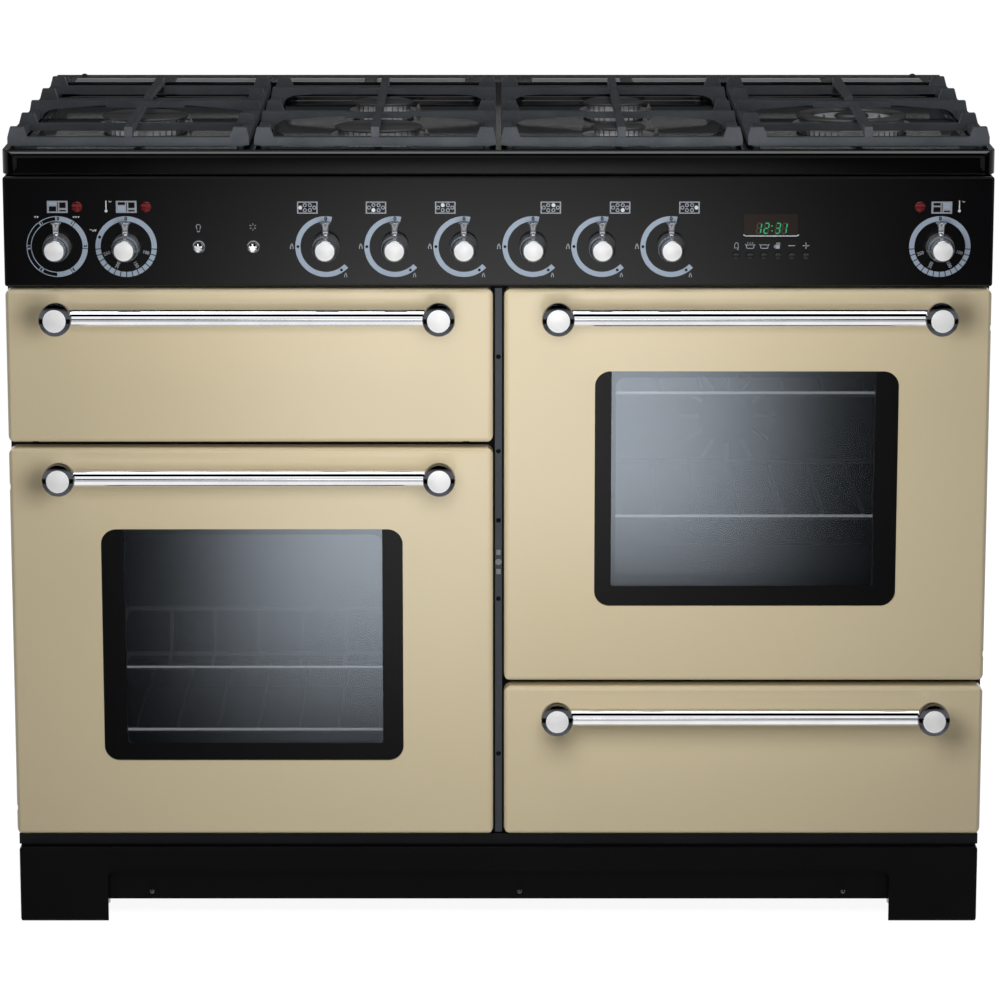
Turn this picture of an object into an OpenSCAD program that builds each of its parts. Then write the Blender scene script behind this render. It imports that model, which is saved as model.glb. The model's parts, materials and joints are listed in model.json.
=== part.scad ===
// Range cooker, 1100 mm class: two ovens, a drop-down grill, a storage drawer and a six-burner hob.
// Millimetres. +Z is up, the doors face -Y, and the origin is on the floor in the middle of the cooker.

/* [Body] */
// Width over the side panels and the hob
overall_w = 1092; // [1080:1:1120]
// Depth from the door faces to the rear edge of the hob
body_d = 608; // [600:1:640]
// Height of the plinth
plinth_h = 89; // [70:1:110]
// Gap between the bottom edge of the plinth and the floor
plinth_lift = 1.5; // [1:0.5:6]
// Height of the dark recess between the plinth and the doors
recess_h = 15; // [10:1:25]
// Thickness of the sheet metal in the casing
sheet = 2; // [1.5:0.5:3]
// Distance from the rear edge of the hob to the back panel
back_recess = 26; // [22:1:40]
// Width of one leg of the plinth
plinth_leg_w = 100; // [60:1:160]
// Height of the cut-out between the legs of the plinth
plinth_cut_h = 61; // [40:1:66]
// Height of the kick strip above the floor
kick_z = 24; // [15:1:40]
// Distance that the kick strip stands back from the plinth's face
kick_set_back = 12; // [8:1:20]

/* [Fronts] */
// Height of an oven door
oven_front_h = 446; // [430:1:470]
// Height of the grill door and of the drawer front
small_front_h = 173; // [165:1:190]
// Gap between two fronts, one above the other
front_gap = 6; // [5:0.5:10]
// Gap between the left and the right fronts
centre_gap = 12; // [11:0.5:16]
// Distance from the side of the cooker to the side of a front
side_inset = 1; // [0.5:0.5:4]
// Depth of a pressed front
front_d = 22; // [20:1:26]
// Wall of a pressed front
front_wall = 2.5; // [2:0.5:3]
// Radius of the rolled edge of a front
roll_r = 6; // [4:0.5:7]
// Radius of a front's corners
corner_r = 9; // [7:0.5:14]
// Thickness of a door's inner frame
inner_t = 16; // [12:1:20]
// Distance that a door's inner frame stands in from the door's edge
inner_inset = 12; // [11.5:0.5:14]
// Gap between a closed door and the front frame
door_gap = 3; // [2.5:0.5:5]
// Width of a door's window
window_w = 337; // [280:1:360]
// Height of a door's window
window_h = 267; // [220:1:290]
// Radius of the window's corners
window_r = 17; // [8:1:30]
// Height of the window's middle above the door's middle
window_rise = -3; // [-10:1:10]
// Width that the inner frame covers at each side of the window
border_w = 24; // [10:1:35]
// Height that the inner frame covers above and below the window
border_h = 11; // [6:1:20]
// Thickness of a glass pane
pane_t = 4; // [3:0.5:5]

/* [Door hinges] */
// Distance from a door's edge to its hinge axis
hinge_inset = 10; // [9:0.5:11]
// Distance from a door's face back to its hinge axis
hinge_back = 12; // [11.5:0.5:13]
// Distance from a door's corner to a hinge
hinge_from_end = 30; // [26:1:60]
// Radius of a hinge pin
pin_r = 4; // [3:0.5:5]
// Length of a hinge pin beyond its bracket
pin_l = 14; // [10:1:18]
// Thickness of a hinge bracket
bracket_t = 4; // [3:0.5:5]
// Running clearance round pins and shafts, on the radius
run_fit = 0.05; // [0.03:0.01:0.1]

/* [Handles] */
// Distance from a door's face to the front of a handle post
handle_reach = 56; // [50:1:70]
// Radius of the handle bar
bar_r = 9.5; // [8:0.5:11]
// Wall of the handle bar
bar_wall = 1.5; // [1:0.5:3]
// Distance from a door's face to the bar's axis
bar_reach = 34; // [28:1:40]
// Half the distance between two handle posts
post_half = 210; // [150:1:220]
// Radius of a handle post
post_r = 18; // [15:0.5:20]
// Distance from a front's top edge to its handle
handle_drop = 27; // [24:1:45]

/* [Ovens] */
// Width inside an oven
oven_w = 440; // [400:1:450]
// Height inside an oven
oven_h = 340; // [300:1:350]
// Depth inside an oven
oven_d = 420; // [400:1:440]
// Height inside the grill
grill_h = 124; // [110:1:130]
// Depth inside the grill
grill_d = 380; // [340:1:440]
// Radius of an oven's corners
oven_r = 12; // [6:1:20]
// Radius of a rack wire
wire_r = 3; // [2:0.5:4]
// Distance between two long wires of a shelf
wire_pitch = 46.5; // [30:0.5:60]
// Depth of a shelf
shelf_d = 320; // [280:1:325]
// Height of the lowest rung above the oven floor
rung_low = 40; // [30:1:50]
// Distance between two rungs
rung_pitch = 71; // [50:1:80]
// Radius of the fan
fan_r = 68; // [50:1:75]
// Number of fan blades
fan_blades = 12; // [8:1:16]
// Width of the fan cover
cover_w = 300; // [260:1:360]
// Height of the fan cover
cover_h = 226; // [220:1:300]
// Depth of the fan cover
cover_d = 45; // [40:1:55]
// Width of the rack that hangs on the left door
door_rack_w = 300; // [220:1:310]
// Depth of the rack that hangs on the left door
door_rack_d = 92; // [60:1:110]
// Height of that rack's tray above the middle of the door
door_rack_z = -42; // [-90:1:-20]
// Height from that rack's tray to its top wires
door_rack_h = 50; // [30:1:70]

/* [Drawer] */
// Width of the drawer's tray
tray_w = 470; // [400:1:476]
// Depth of the drawer's tray
tray_d = 404; // [380:1:440]
// Height of the drawer's tray
tray_h = 116; // [80:1:120]

/* [Fascia] */
// Height of the fascia
fascia_h = 122.6; // [110:0.1:140]
// Gap between the doors and the fascia
fascia_gap = 2.4; // [2:0.1:5]
// Height of the knobs above the fascia's bottom edge
knob_rise = 44.7; // [40:0.1:60]
// Distance between two hob knobs
knob_pitch = 76; // [72:1:90]
// Distance from an end of the cooker to the outer oven knob
knob_end = 60; // [46:1:76]
// Distance from the left outer knob to the inner one
oven_knob_pitch = 76; // [71:1:96]
// Radius of a knob's skirt
knob_r = 15.5; // [14.5:0.5:18]
// Radius of a knob's front
knob_nose_r = 12; // [9:0.5:14]
// Distance that a knob stands out
knob_l = 37; // [28:1:45]
// Radius of a control shaft
shaft_r = 5; // [4:0.5:6]
// Length of the pointer from the knob's axis
pointer_l = 28.5; // [25:0.5:32]
// Position of the light button
light_x = -330; // [-345:1:-315]
// Position of the ignition button
ignition_x = -270; // [-285:1:-255]
// Radius of a push button
button_r = 5.4; // [4:0.1:7]
// Distance that a push button stands out
button_l = 14; // [10:1:18]
// Travel of a push button
button_travel = 3; // [2:0.5:4]
// Position of the clock
clock_x = 300; // [290:1:330]
// Height of the clock's window above the knobs
clock_rise = 24; // [22:1:30]
// Width of the clock's window
lens_w = 60; // [50:1:80]
// Height of the clock's window
lens_h = 25; // [18:1:28]
// Distance between two clock buttons
clock_pitch = 15.4; // [12:0.1:17]
// Height of the clock buttons above the knobs
clock_button_rise = -10; // [-14:1:-8]
// Radius of a clock button
clock_button_r = 4; // [3:0.5:5]
// Distance that a clock button stands out
clock_button_l = 3; // [2.5:0.5:4]
// Travel of a clock button
clock_travel = 1.5; // [1:0.5:2]
// Sideways distance from an oven knob to its neon
neon_dx = 22.5; // [18:0.5:26]
// Height of a neon above its knob
neon_rise = 44; // [42:0.5:55]
// Radius of a neon
neon_r = 6; // [4:0.5:7]

/* [Hob] */
// Thickness of the hob's edge
hob_t = 26.4; // [24:0.2:34]
// Gap between the fascia and the hob
hob_gap = 1.6; // [1:0.1:3]
// Radius of the hob's corners in plan
hob_corner_r = 18; // [8:1:30]
// Radius of the hob's top front edge
hob_nose_r = 8; // [4:0.5:10]
// Depth of the wells in the hob
well_depth = 5; // [3:0.5:6]
// Distance from the door faces to the middle row of burners
burner_mid_d = 272; // [260:1:285]
// Distance from the door faces to the front burners
burner_front_d = 172; // [165:1:180]
// Distance from the door faces to the rear burners
burner_rear_d = 405; // [395:1:415]
// Radius of the left burner's cap
left_cap_r = 49; // [40:0.5:52]
// Radius of the large front burner's cap
large_cap_r = 50; // [40:0.5:52]
// Radius of a rear burner's cap
rear_cap_r = 36; // [30:0.5:42]
// Radius of the small front burner's cap
small_cap_r = 31; // [26:0.5:40]
// Outer radius of the wok burner's cap
wok_cap_r = 64; // [56:0.5:66]
// Inner radius of the wok burner's cap ring
wok_hole_r = 46; // [40:0.5:48]
// Radius of the wok burner's middle cap
wok_mid_r = 20; // [16:0.5:24]
// Depth of the flue grille
flue_d = 80; // [70:1:84]
// Height of the flue grille
flue_h = 15; // [10:1:20]
// Width of a slot in the flue grille
flue_slot_w = 7; // [4:0.5:9]

/* [Pan supports] */
// Distance from an end of the hob to the outer pan support
support_end = 5; // [3:0.5:10]
// Depth of a pan support
support_d = 496; // [480:1:498]
// Gap between two pan supports
support_gap = 6; // [4:0.5:10]
// Distance from the door faces to a pan support
support_set_back = 24; // [20:1:28]
// Height of a pan support's top above the hob
support_h = 23; // [21:1:32]
// Height of a pan support's bars
support_bar_h = 9.5; // [8:0.5:12]
// Width of a pan support's bars
support_bar_w = 12; // [9:1:16]
// Height of the pads under a pan support
support_pad_h = 2.5; // [1.5:0.5:3]
// Thickness of the arms
arm_t = 11; // [8:1:14]
// Width of a lug at its foot
lug_w = 22; // [18:1:28]
// Distance from a side burner's axis to the tips of the arms
side_tip = 44; // [30:1:50]
// Distance from a middle burner's axis to the tips of the arms
centre_tip = 36; // [28:1:45]
// Width of the arch under an arm, beside its foot
arch_w = 19; // [10:1:24]
// Height of an arm over its arch
haunch_h = 9; // [7:0.5:11]

/* [Services] */
// Radius of the gas inlet's thread (R 1/2)
gas_thread_r = 10.475; // [10.475:0.005:13.2]
// Length of the gas inlet's thread
gas_thread_l = 20; // [15:1:22]
// Radius of the cable entry
cable_r = 8; // [6:0.5:10]
// Length of the cable entry
cable_l = 12; // [8:1:20]
// Distance between the two splashback holes
splash_pitch = 1014; // [980:1:1020]
// Radius of a splashback hole
splash_r = 2.25; // [1.7:0.05:3.2]
// Radius of a foot's stud
stud_r = 5; // [4:0.5:6]
// Radius of a foot's pad
foot_r = 22; // [16:1:30]

/* [Hidden] */
$fn = 48;
eps = 0.01;
cut = 1;
seat_gap = 0.3;
joint_gap = 0.1;
// Planes across the depth
front_y = (handle_reach - body_d) / 2;
back_y = front_y + body_d;
panel_y = back_y - back_recess;
inner_y = front_y + front_d;
inner_back_y = inner_y + inner_t;
frame_y = inner_back_y + door_gap;
frame_t = 4;
liner_y = frame_y + frame_t;
skin_y = front_y + sheet;
// Levels
base_t = 3;
fronts_z = plinth_h + recess_h;
low_gap_z = fronts_z + oven_front_h;
grill_front_z = low_gap_z + front_gap;
right_front_z = fronts_z + small_front_h + front_gap;
fronts_top = grill_front_z + small_front_h;
fascia_z = fronts_top + fascia_gap;
fascia_top = fascia_z + fascia_h;
hob_z = fascia_top + hob_gap;
hob_top = hob_z + hob_t;
well_z = hob_top - well_depth;
knob_z = fascia_z + knob_rise;
base_z = plinth_h;
base_top = base_z + base_t;
// Widths
side_x = overall_w / 2;
casing_x = side_x - sheet;
front_w = side_x - side_inset - centre_gap / 2;
front_x = (side_x - side_inset + centre_gap / 2) / 2;
left_oven_z = fronts_z + (oven_front_h - oven_h) / 2;
right_oven_z = right_front_z + (oven_front_h - oven_h) / 2;
grill_z = grill_front_z + (small_front_h - grill_h) / 2;
oven_back_y = liner_y + oven_d;
oven_mid_z = oven_h / 2;
liner_flange = 12;
// Hinges
pin_y = front_y + hinge_back;
knuckle_half = 7;
knuckle_in = 13;
knuckle_h = 15;
knuckle_root = 6;
bracket_half = 7;
notch_gap = 1.5;
// Racks
ladder_x = oven_w / 2 - 2 * wire_r;
rung_x = ladder_x - 2 * wire_r + 1;
shelf_half = rung_x - 1;
shelf_y = liner_y + 40;
rung_l = shelf_d + 20;
// Drawer
bay_h = 150;
bay_half = tray_w / 2 + 12;
bay_z = fronts_z + (small_front_h - bay_h) / 2;
tray_z = bay_z + 4;
rim_w = 7;
tray_y = inner_y + joint_gap + sheet;
// Supports
support_y = front_y + support_set_back;
support_w = (overall_w - 2 * support_end - 3 * support_gap) / 4;
centre_support_x = (support_w + support_gap) / 2;
side_support_x = centre_support_x + support_w + support_gap;
bar_top = support_pad_h + support_bar_h;
row_pitch = (support_d - 2 * support_bar_w) / 4;
arch_h = support_h - support_pad_h - haunch_h;
tip_h = 4.5;
link_drop = 1;
link_h = 6.5;
rib_w = 9;
// Flue grille
flue_y = back_y - 4 - flue_d;
// Services
gas_x = casing_x - 60;
gas_z = knob_z + 24;
rail_r = 9;
rail_y = frame_y + 13;
tap_r = 11;
socket_l = 14;
box_w = 110;
box_h = 90;
box_d = 20;
box_x = -430;
box_z = 640;
foot_x = casing_x - 74;
foot_y1 = frame_y + 40;
foot_y2 = panel_y - 36;

cream = [0.84, 0.8, 0.68];
charcoal = [0.16, 0.17, 0.18];
black = [0.04, 0.04, 0.045];
iron = [0.24, 0.26, 0.28];
zinc = [0.6, 0.62, 0.64];
chrome = [0.86, 0.87, 0.88];
alloy = [0.75, 0.75, 0.75];
brass = [0.75, 0.6, 0.3];
enamel = [0.12, 0.12, 0.13];
glass = [0.1, 0.1, 0.12];

// A rectangle with rounded corners, about the origin
module round_rect(w, h, r) {
  square([w - 2 * r, h], center = true);
  square([w, h - 2 * r], center = true);
  for (x = [-1, 1], y = [-1, 1])
    translate([x * (w / 2 - r), y * (h / 2 - r)]) circle(r);
}

// Stands a plane drawing up in X and Z and gives it the depth t, backwards from y
module upright(y, t) {
  translate([0, y + t, 0]) rotate([90, 0, 0]) linear_extrude(t) children();
}

// A box from x1 to x2, y1 to y2 and z1 to z2
module block(x1, x2, y1, y2, z1, z2) {
  translate([x1, y1, z1]) cube([x2 - x1, y2 - y1, z2 - z1]);
}

// A bar section whose first edge, at y 0, is rounded at both ends
module rolled_section(w, t, r) {
  translate([-w / 2, r]) square([w, t - r]);
  translate([r - w / 2, 0]) square([w - 2 * r, t]);
  for (x = [-1, 1]) translate([x * (w / 2 - r), r]) circle(r);
}

// A slab whose front edges are rolled: face at y 0, foot at z 0, middle at x 0
module rolled_slab(w, h, t, edge, corner) {
  intersection() {
    upright(0, t) translate([0, h / 2]) round_rect(w, h, corner);
    linear_extrude(h) rolled_section(w, t, edge);
    translate([-w / 2, 0, h / 2]) rotate([90, 0, 90]) linear_extrude(w) mirror([1, 0]) rotate(90)
      rolled_section(h, t, edge);
  }
}

// A wire from one point to the next along a list, with a slightly fuller knee at each bend
module wire(points, r) {
  knee = 0.12;
  for (i = [0 : len(points) - 2]) {
    a = points[i];
    v = points[i + 1] - a;
    l = norm(v);
    translate(a) rotate([0, acos(v[2] / l), atan2(v[1], v[0])]) cylinder(h = l, r = r, $fn = 24);
    if (i > 0) translate(a) sphere(r + knee, $fn = 24);
  }
}

// Hinge pieces, drawn with the pin along Z, the door towards +X and the front frame towards +Y
module hinge_bracket() {
  arm_l = frame_y - pin_y;
  translate([0, 0, -bracket_t / 2]) linear_extrude(bracket_t) {
    circle(bracket_half);
    translate([-bracket_half, 0]) square([2 * bracket_half, arm_l]);
  }
  block(-bracket_half, bracket_half, arm_l - door_gap + 2 * seat_gap, arm_l, -12, 12);
  cylinder(h = bracket_t / 2 + pin_l, r = pin_r);
}
module hinge_knuckle() {
  y1 = front_wall + 1 - hinge_back;
  y2 = front_d - hinge_back + knuckle_root;
  translate([0, 0, bracket_t / 2 + seat_gap]) difference() {
    block(-knuckle_half, knuckle_in, y1, y2, 0, knuckle_h);
    translate([0, 0, -cut]) cylinder(h = knuckle_h + 2 * cut, r = pin_r + run_fit);
  }
}
// Room for the bracket as the door swings round it
module hinge_notch() {
  half = bracket_t / 2 + notch_gap;
  block(-hinge_inset - cut, bracket_half + notch_gap, -hinge_back + front_wall, front_d + inner_t + cut,
    -half, half);
}
// Room for the knuckle through the folded lip of the pressed front
module knuckle_slot() {
  block(-knuckle_half - 0.5, knuckle_in + 4, 0, front_d - hinge_back + cut,
    -bracket_t / 2 - notch_gap, bracket_t / 2 + knuckle_h + 2);
}

// Places the children at the two hinges of an oven door; side is -1 for the left door and 1 for the right one
module at_side_hinges(side, z) {
  x = side * (side_x - side_inset - hinge_inset);
  for (dz = [hinge_from_end, oven_front_h - hinge_from_end - knuckle_h])
    translate([x, pin_y, z + dz]) mirror([side > 0 ? 1 : 0, 0, 0]) children();
}
// Places the children at the two hinges of the grill door
module at_grill_hinges() {
  for (s = [-1, 1])
    translate([-front_x + s * (front_w / 2 - hinge_from_end), pin_y, grill_front_z + hinge_inset])
      mirror([s < 0 ? 1 : 0, 0, 0]) rotate([0, -90, 0]) children();
}

// The pressed skin of a front, with a folded lip behind
module pressed_front(h) {
  lip = inner_inset + 4;
  difference() {
    rolled_slab(front_w, h, front_d, roll_r, corner_r);
    upright(front_wall, front_d - 2 * front_wall) translate([0, h / 2])
      round_rect(front_w - 2 * front_wall, h - 2 * front_wall, corner_r - front_wall);
    block(lip - front_w / 2, front_w / 2 - lip, front_d - front_wall - cut, front_d + cut, lip, h - lip);
  }
}
// The inner pan of a front: a plate towards the oven with a rim round it
module inner_pan(h) {
  w = front_w - 2 * inner_inset;
  difference() {
    upright(0, inner_t) translate([0, h / 2]) round_rect(w, h - 2 * inner_inset, 4);
    upright(-cut, inner_t - sheet + cut) translate([0, h / 2])
      round_rect(w - 2 * pan_rim, h - 2 * inner_inset - 2 * pan_rim, 2);
  }
}
window_z = oven_front_h / 2 + window_rise;
aperture_w = window_w - 2 * border_w;
aperture_h = window_h - 2 * border_h;
pane_lap = 8;
rebate = 0.2;
pan_rim = 3;

module oven_door_panel(side, z) {
  color(cream) difference() {
    translate([side * front_x, front_y, z]) difference() {
      pressed_front(oven_front_h);
      upright(-cut, front_wall + 2 * cut) translate([0, window_z]) round_rect(window_w, window_h, window_r);
    }
    at_side_hinges(side, z) {
      hinge_notch();
    }
    at_side_hinges(side, z) knuckle_slot();
  }
}
module oven_door_glass(side, z) {
  color(glass) translate([side * front_x, 0, z + window_z]) {
    upright(front_y + front_wall, pane_t) round_rect(window_w + 24, window_h + 24, window_r);
    upright(inner_back_y - rebate - pane_t, pane_t)
      round_rect(aperture_w + 2 * pane_lap - 2 * rebate, aperture_h + 2 * pane_lap - 2 * rebate, 6);
  }
}
module oven_door_inner(side, z) {
  collar = pane_lap + pan_rim;
  color(enamel) {
    difference() {
      translate([side * front_x, inner_y, z]) difference() {
        union() {
          inner_pan(oven_front_h);
          upright(0, inner_t) translate([0, window_z])
            round_rect(aperture_w + 2 * collar, aperture_h + 2 * collar, 6 + pan_rim);
        }
        upright(-cut, inner_t + 2 * cut) translate([0, window_z]) round_rect(aperture_w, aperture_h, 10);
        upright(inner_t - pane_t - rebate, pane_t + rebate + cut) translate([0, window_z])
          round_rect(aperture_w + 2 * pane_lap, aperture_h + 2 * pane_lap, 6);
      }
      at_side_hinges(side, z) hinge_notch();
    }
    at_side_hinges(side, z) hinge_knuckle();
  }
}

// One handle: a tube between two turned posts, for a front whose face is at y 0
module bar_handle() {
  neck = post_r - 3;
  shoulder = 5;
  difference() {
    union() {
      translate([0, -bar_reach, 0]) rotate([0, 90, 0]) cylinder(h = 2 * post_half, r = bar_r, center = true);
      for (s = [-1, 1]) translate([s * post_half, 0, 0]) rotate([90, 0, 0]) rotate_extrude()
        polygon([
          [0, 0], [post_r - 1, 0], [post_r - 1, 3], [neck, 6], [neck, 12], [post_r, 20],
          [post_r, handle_reach - shoulder], [post_r - 1.2, handle_reach - shoulder + 3],
          [post_r - shoulder, handle_reach], [0, handle_reach]
        ]);
    }
    translate([0, -bar_reach, 0]) rotate([0, 90, 0])
      cylinder(h = 2 * (post_half - post_r + 6), r = bar_r - bar_wall, center = true);
  }
}
module front_handle(side, top) {
  color(chrome) translate([side * front_x, front_y, top - handle_drop]) bar_handle();
}

module base_frame() {
  color(charcoal) {
    difference() {
      union() {
        block(-casing_x, casing_x, front_y + 14, panel_y - sheet, base_z, base_top);
        block(-casing_x, casing_x, front_y + 14, front_y + 17, base_z, fronts_z - 3);
        for (x = [-foot_x, foot_x], y = [foot_y1, foot_y2])
          translate([x, y, base_z - 18]) cylinder(h = 18, r = 2.4 * stud_r);
      }
      for (x = [-foot_x, foot_x], y = [foot_y1, foot_y2])
        translate([x, y, base_z - 20]) cylinder(h = 30, r = stud_r + run_fit);
    }
  }
  color(zinc) for (s = [-1, 1]) translate([front_x, 0, 0]) mirror([s < 0 ? 1 : 0, 0, 0]) drawer_runner();
}
// The drawer's fixed runner: a channel on the base with a ledge that the tray's rim slides on
module drawer_runner() {
  x1 = tray_w / 2 + 1.5;
  x2 = tray_w / 2 + rim_w + 3;
  top = tray_z + tray_h - sheet - seat_gap;
  y2 = tray_y + tray_d + 8;
  block(x2 - sheet, x2, liner_y, y2, base_top, top);
  block(x1, x2, liner_y, y2, top - sheet, top);
  block(x1, x2, liner_y, y2, base_top, base_top + sheet);
}

module plinth() {
  half = casing_x - 1;
  cut_half = half - plinth_leg_w;
  color(black) difference() {
    union() {
      translate([0, front_y, plinth_lift]) difference() {
        rolled_slab(2 * half, plinth_h - plinth_lift, kick_set_back + sheet, 3, 4);
        block(sheet - half, half - sheet, sheet, 40, -cut, plinth_h - plinth_lift - sheet);
      }
    }
    upright(front_y - cut, kick_set_back + sheet + 2 * cut) {
      translate([-cut_half, 0]) square([2 * cut_half, plinth_cut_h - 8]);
      translate([8 - cut_half, 0]) square([2 * cut_half - 16, plinth_cut_h]);
      for (s = [-1, 1]) translate([s * (cut_half - 8), plinth_cut_h - 8]) circle(8);
    }
  }
  kick_y = front_y + kick_set_back + sheet;
  color(black) {
    block(1 - half, half - 1, kick_y, kick_y + sheet, kick_z, base_z);
    block(1 - half, half - 1, kick_y, kick_y + 20, base_z - sheet, base_z);
  }
}

module side_panels() {
  color(charcoal) for (s = [-1, 1]) mirror([s < 0 ? 1 : 0, 0, 0]) {
    block(casing_x, side_x, frame_y, back_y - 4, base_z, hob_z);
    block(casing_x - 16, casing_x + eps, back_y - 4 - sheet, back_y - 4, base_z, hob_z - 30);
    block(casing_x - 16, casing_x + eps, frame_y + frame_t, frame_y + frame_t + sheet, base_top, fronts_top);
  }
}

module back_panel() {
  slot_l = 90;
  color(zinc) difference() {
    block(-casing_x, casing_x, panel_y - sheet, panel_y, base_z, hob_z);
    for (x = [-300, 0, 300], i = [0 : 5])
      translate([x, panel_y - sheet / 2, 320 + i * 16]) cube([slot_l, 3 * sheet, 5], center = true);
    translate([gas_x, panel_y - 3 * sheet, gas_z]) rotate([-90, 0, 0])
      cylinder(h = 6 * sheet, r = gas_thread_r + seat_gap);
  }
  // The cover over the mains terminals, with its cable entry below
  color(charcoal) difference() {
    union() {
      block(box_x - box_w / 2, box_x + box_w / 2, panel_y + joint_gap, panel_y + box_d, box_z, box_z + box_h);
      translate([box_x, panel_y + box_d / 2, box_z - cable_l]) cylinder(h = cable_l + eps, r = cable_r + 1.6);
    }
    block(box_x - box_w / 2 + sheet, box_x + box_w / 2 - sheet, panel_y - cut, panel_y + box_d - sheet / 2,
      box_z + sheet, box_z + box_h - sheet);
    translate([box_x, panel_y + box_d / 2, box_z - cable_l - cut])
      cylinder(h = cable_l + sheet + 2 * cut, r = cable_r);
  }
}

// Posts and rails round the two ovens, the grill and the drawer's bay
module front_frame() {
  half = oven_w / 2;
  inner_post = front_x - half;
  bay_edge = front_x - bay_half;
  module bar_of_frame(x1, x2, z1, z2) {
    block(x1, x2, frame_y, liner_y, z1, z2);
  }
  module rail(x1, x2, z1, z2) {
    bar_of_frame(x1 + joint_gap, x2 - joint_gap, z1, z2);
  }
  color(charcoal) {
    bar_of_frame(-casing_x, -front_x - half, base_top, fascia_z);
    bar_of_frame(front_x + bay_half, casing_x, base_top, fascia_z);
    bar_of_frame(-inner_post, bay_edge, base_top, fascia_z);
    block(-4, 4, front_y + 18, frame_y - joint_gap, fronts_z - 2, fronts_top - 2);
    rail(-front_x - half, -inner_post, base_top, left_oven_z);
    rail(-front_x - half, -inner_post, left_oven_z + oven_h, grill_z);
    rail(-front_x - half, -inner_post, grill_z + grill_h, fascia_z);
    rail(bay_edge, front_x + bay_half, base_top, bay_z);
    rail(bay_edge, front_x + bay_half, bay_z + bay_h, right_oven_z - joint_gap);
    rail(bay_edge, front_x + bay_half, right_oven_z + oven_h + joint_gap, fascia_z);
    rail(bay_edge, inner_post, right_oven_z, right_oven_z + oven_h);
    rail(front_x + half, front_x + bay_half, right_oven_z, right_oven_z + oven_h);
  }
}

module hotplate() {
  skin = 3;
  well_w = support_w - 2 * support_bar_w - 4;
  well_d = support_d - 2 * support_bar_w - 4;
  color(black) difference() {
    intersection() {
      translate([0, (front_y + back_y) / 2, hob_z]) linear_extrude(hob_t)
        round_rect(overall_w, body_d, hob_corner_r);
      translate([-side_x - cut, front_y, hob_z]) rotate([90, 0, 90]) linear_extrude(overall_w + 2 * cut) {
        translate([0, 2]) square([body_d, hob_t - 2 - hob_nose_r]);
        translate([hob_nose_r, 0]) square([body_d - hob_nose_r, hob_t]);
        translate([2, 0]) square([hob_nose_r, hob_nose_r]);
        translate([2, 2]) circle(2);
        translate([hob_nose_r, hob_t - hob_nose_r]) circle(hob_nose_r);
      }
    }
    translate([0, (front_y + back_y) / 2, hob_z - cut]) linear_extrude(hob_t - well_depth - skin + cut)
      round_rect(overall_w - 2 * skin, body_d - 2 * hob_nose_r - 4, hob_corner_r - skin);
    for (x = [-side_support_x, -centre_support_x, centre_support_x, side_support_x])
      translate([x, support_y + support_d / 2, well_z]) linear_extrude(well_depth + cut)
        round_rect(well_w, well_d, 20);
    for (b = burners) translate([b[0], b[1], hob_z]) cylinder(h = hob_t, r = spigot_r + 0.3);
  }
}
spigot_r = 18;
// Each burner: place, cap radius and number of ports
burners = [
  [-side_support_x, front_y + burner_mid_d, left_cap_r, 36],
  [-centre_support_x, front_y + burner_front_d, large_cap_r, 36],
  [-centre_support_x, front_y + burner_rear_d, rear_cap_r, 28],
  [centre_support_x, front_y + burner_rear_d, rear_cap_r, 28],
  [centre_support_x, front_y + burner_front_d, small_cap_r, 24],
  [side_support_x, front_y + burner_mid_d, wok_cap_r, 48]
];
plate_h = 2;
port_h = 7;
cap_h = 4;
cap_z = well_z + plate_h + port_h;

// A ring of gas ports: the teeth stand between the port slots
module port_ring(r, n) {
  deep = 3;
  tooth = 0.78;
  linear_extrude(port_h) polygon([for (i = [0 : n - 1], k = [0 : 3])
    let (a = 360 / n * (i + [-tooth / 2, tooth / 2, tooth / 2, 1 - tooth / 2][k]), q = k < 2 ? r : r - deep)
    [q * cos(a), q * sin(a)]]);
}
module burner_heads() {
  color(alloy) for (i = [0 : 5]) translate([burners[i][0], burners[i][1], 0]) {
    r = burners[i][2];
    difference() {
      union() {
        translate([0, 0, hob_z + 4]) cylinder(h = well_z - hob_z - 4 + eps, r = spigot_r);
        translate([0, 0, well_z]) cylinder(h = plate_h, r = r + (i == 4 ? 10 : 4));
        translate([0, 0, well_z + plate_h - eps]) port_ring(r - 3, burners[i][3]);
      }
      if (i == 5) translate([0, 0, well_z + plate_h]) difference() {
        cylinder(h = port_h + cut, r = wok_hole_r + 3);
        translate([0, 0, -cut]) port_ring(wok_mid_r - 2, 16);
        cylinder(h = port_h + cut, r = wok_mid_r - 4);
      }
    }
  }
}
module burner_caps() {
  color(black) for (i = [0 : 5]) translate([burners[i][0], burners[i][1], cap_z]) {
    r = burners[i][2];
    if (i < 5) rotate_extrude()
      polygon([[0, 0], [r, 0], [r, 1.5], [r - 1.5, cap_h - 1], [r - 5, cap_h], [0, cap_h]]);
    else {
      rotate_extrude() polygon([
        [wok_hole_r, 0], [r, 0], [r, 1.5], [r - 2, cap_h], [wok_hole_r + 2, cap_h], [wok_hole_r, 1.5]
      ]);
      rotate_extrude() polygon([
        [0, 0], [wok_mid_r, 0], [wok_mid_r, 1.5], [wok_mid_r - 2, cap_h], [0, cap_h]
      ]);
    }
  }
}
module spark_electrodes() {
  electrode_r = 3;
  color("white") for (i = [0 : 5], s = (i < 5 ? [1] : [-1, 1])) {
    b = burners[i];
    reach = i < 5 ? b[2] + (i == 4 ? 10 : 4) + 4 : 34;
    foot = i < 5 ? well_z : well_z + plate_h;
    translate([b[0] + s * reach * cos(20), b[1] - reach * sin(20) * (i < 5 ? 1 : 0), foot]) {
      cylinder(h = 6, r = electrode_r);
      translate([0, 0, 6 - eps]) cylinder(h = 4, r1 = electrode_r - 1, r2 = 0.8);
    }
  }
}

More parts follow.
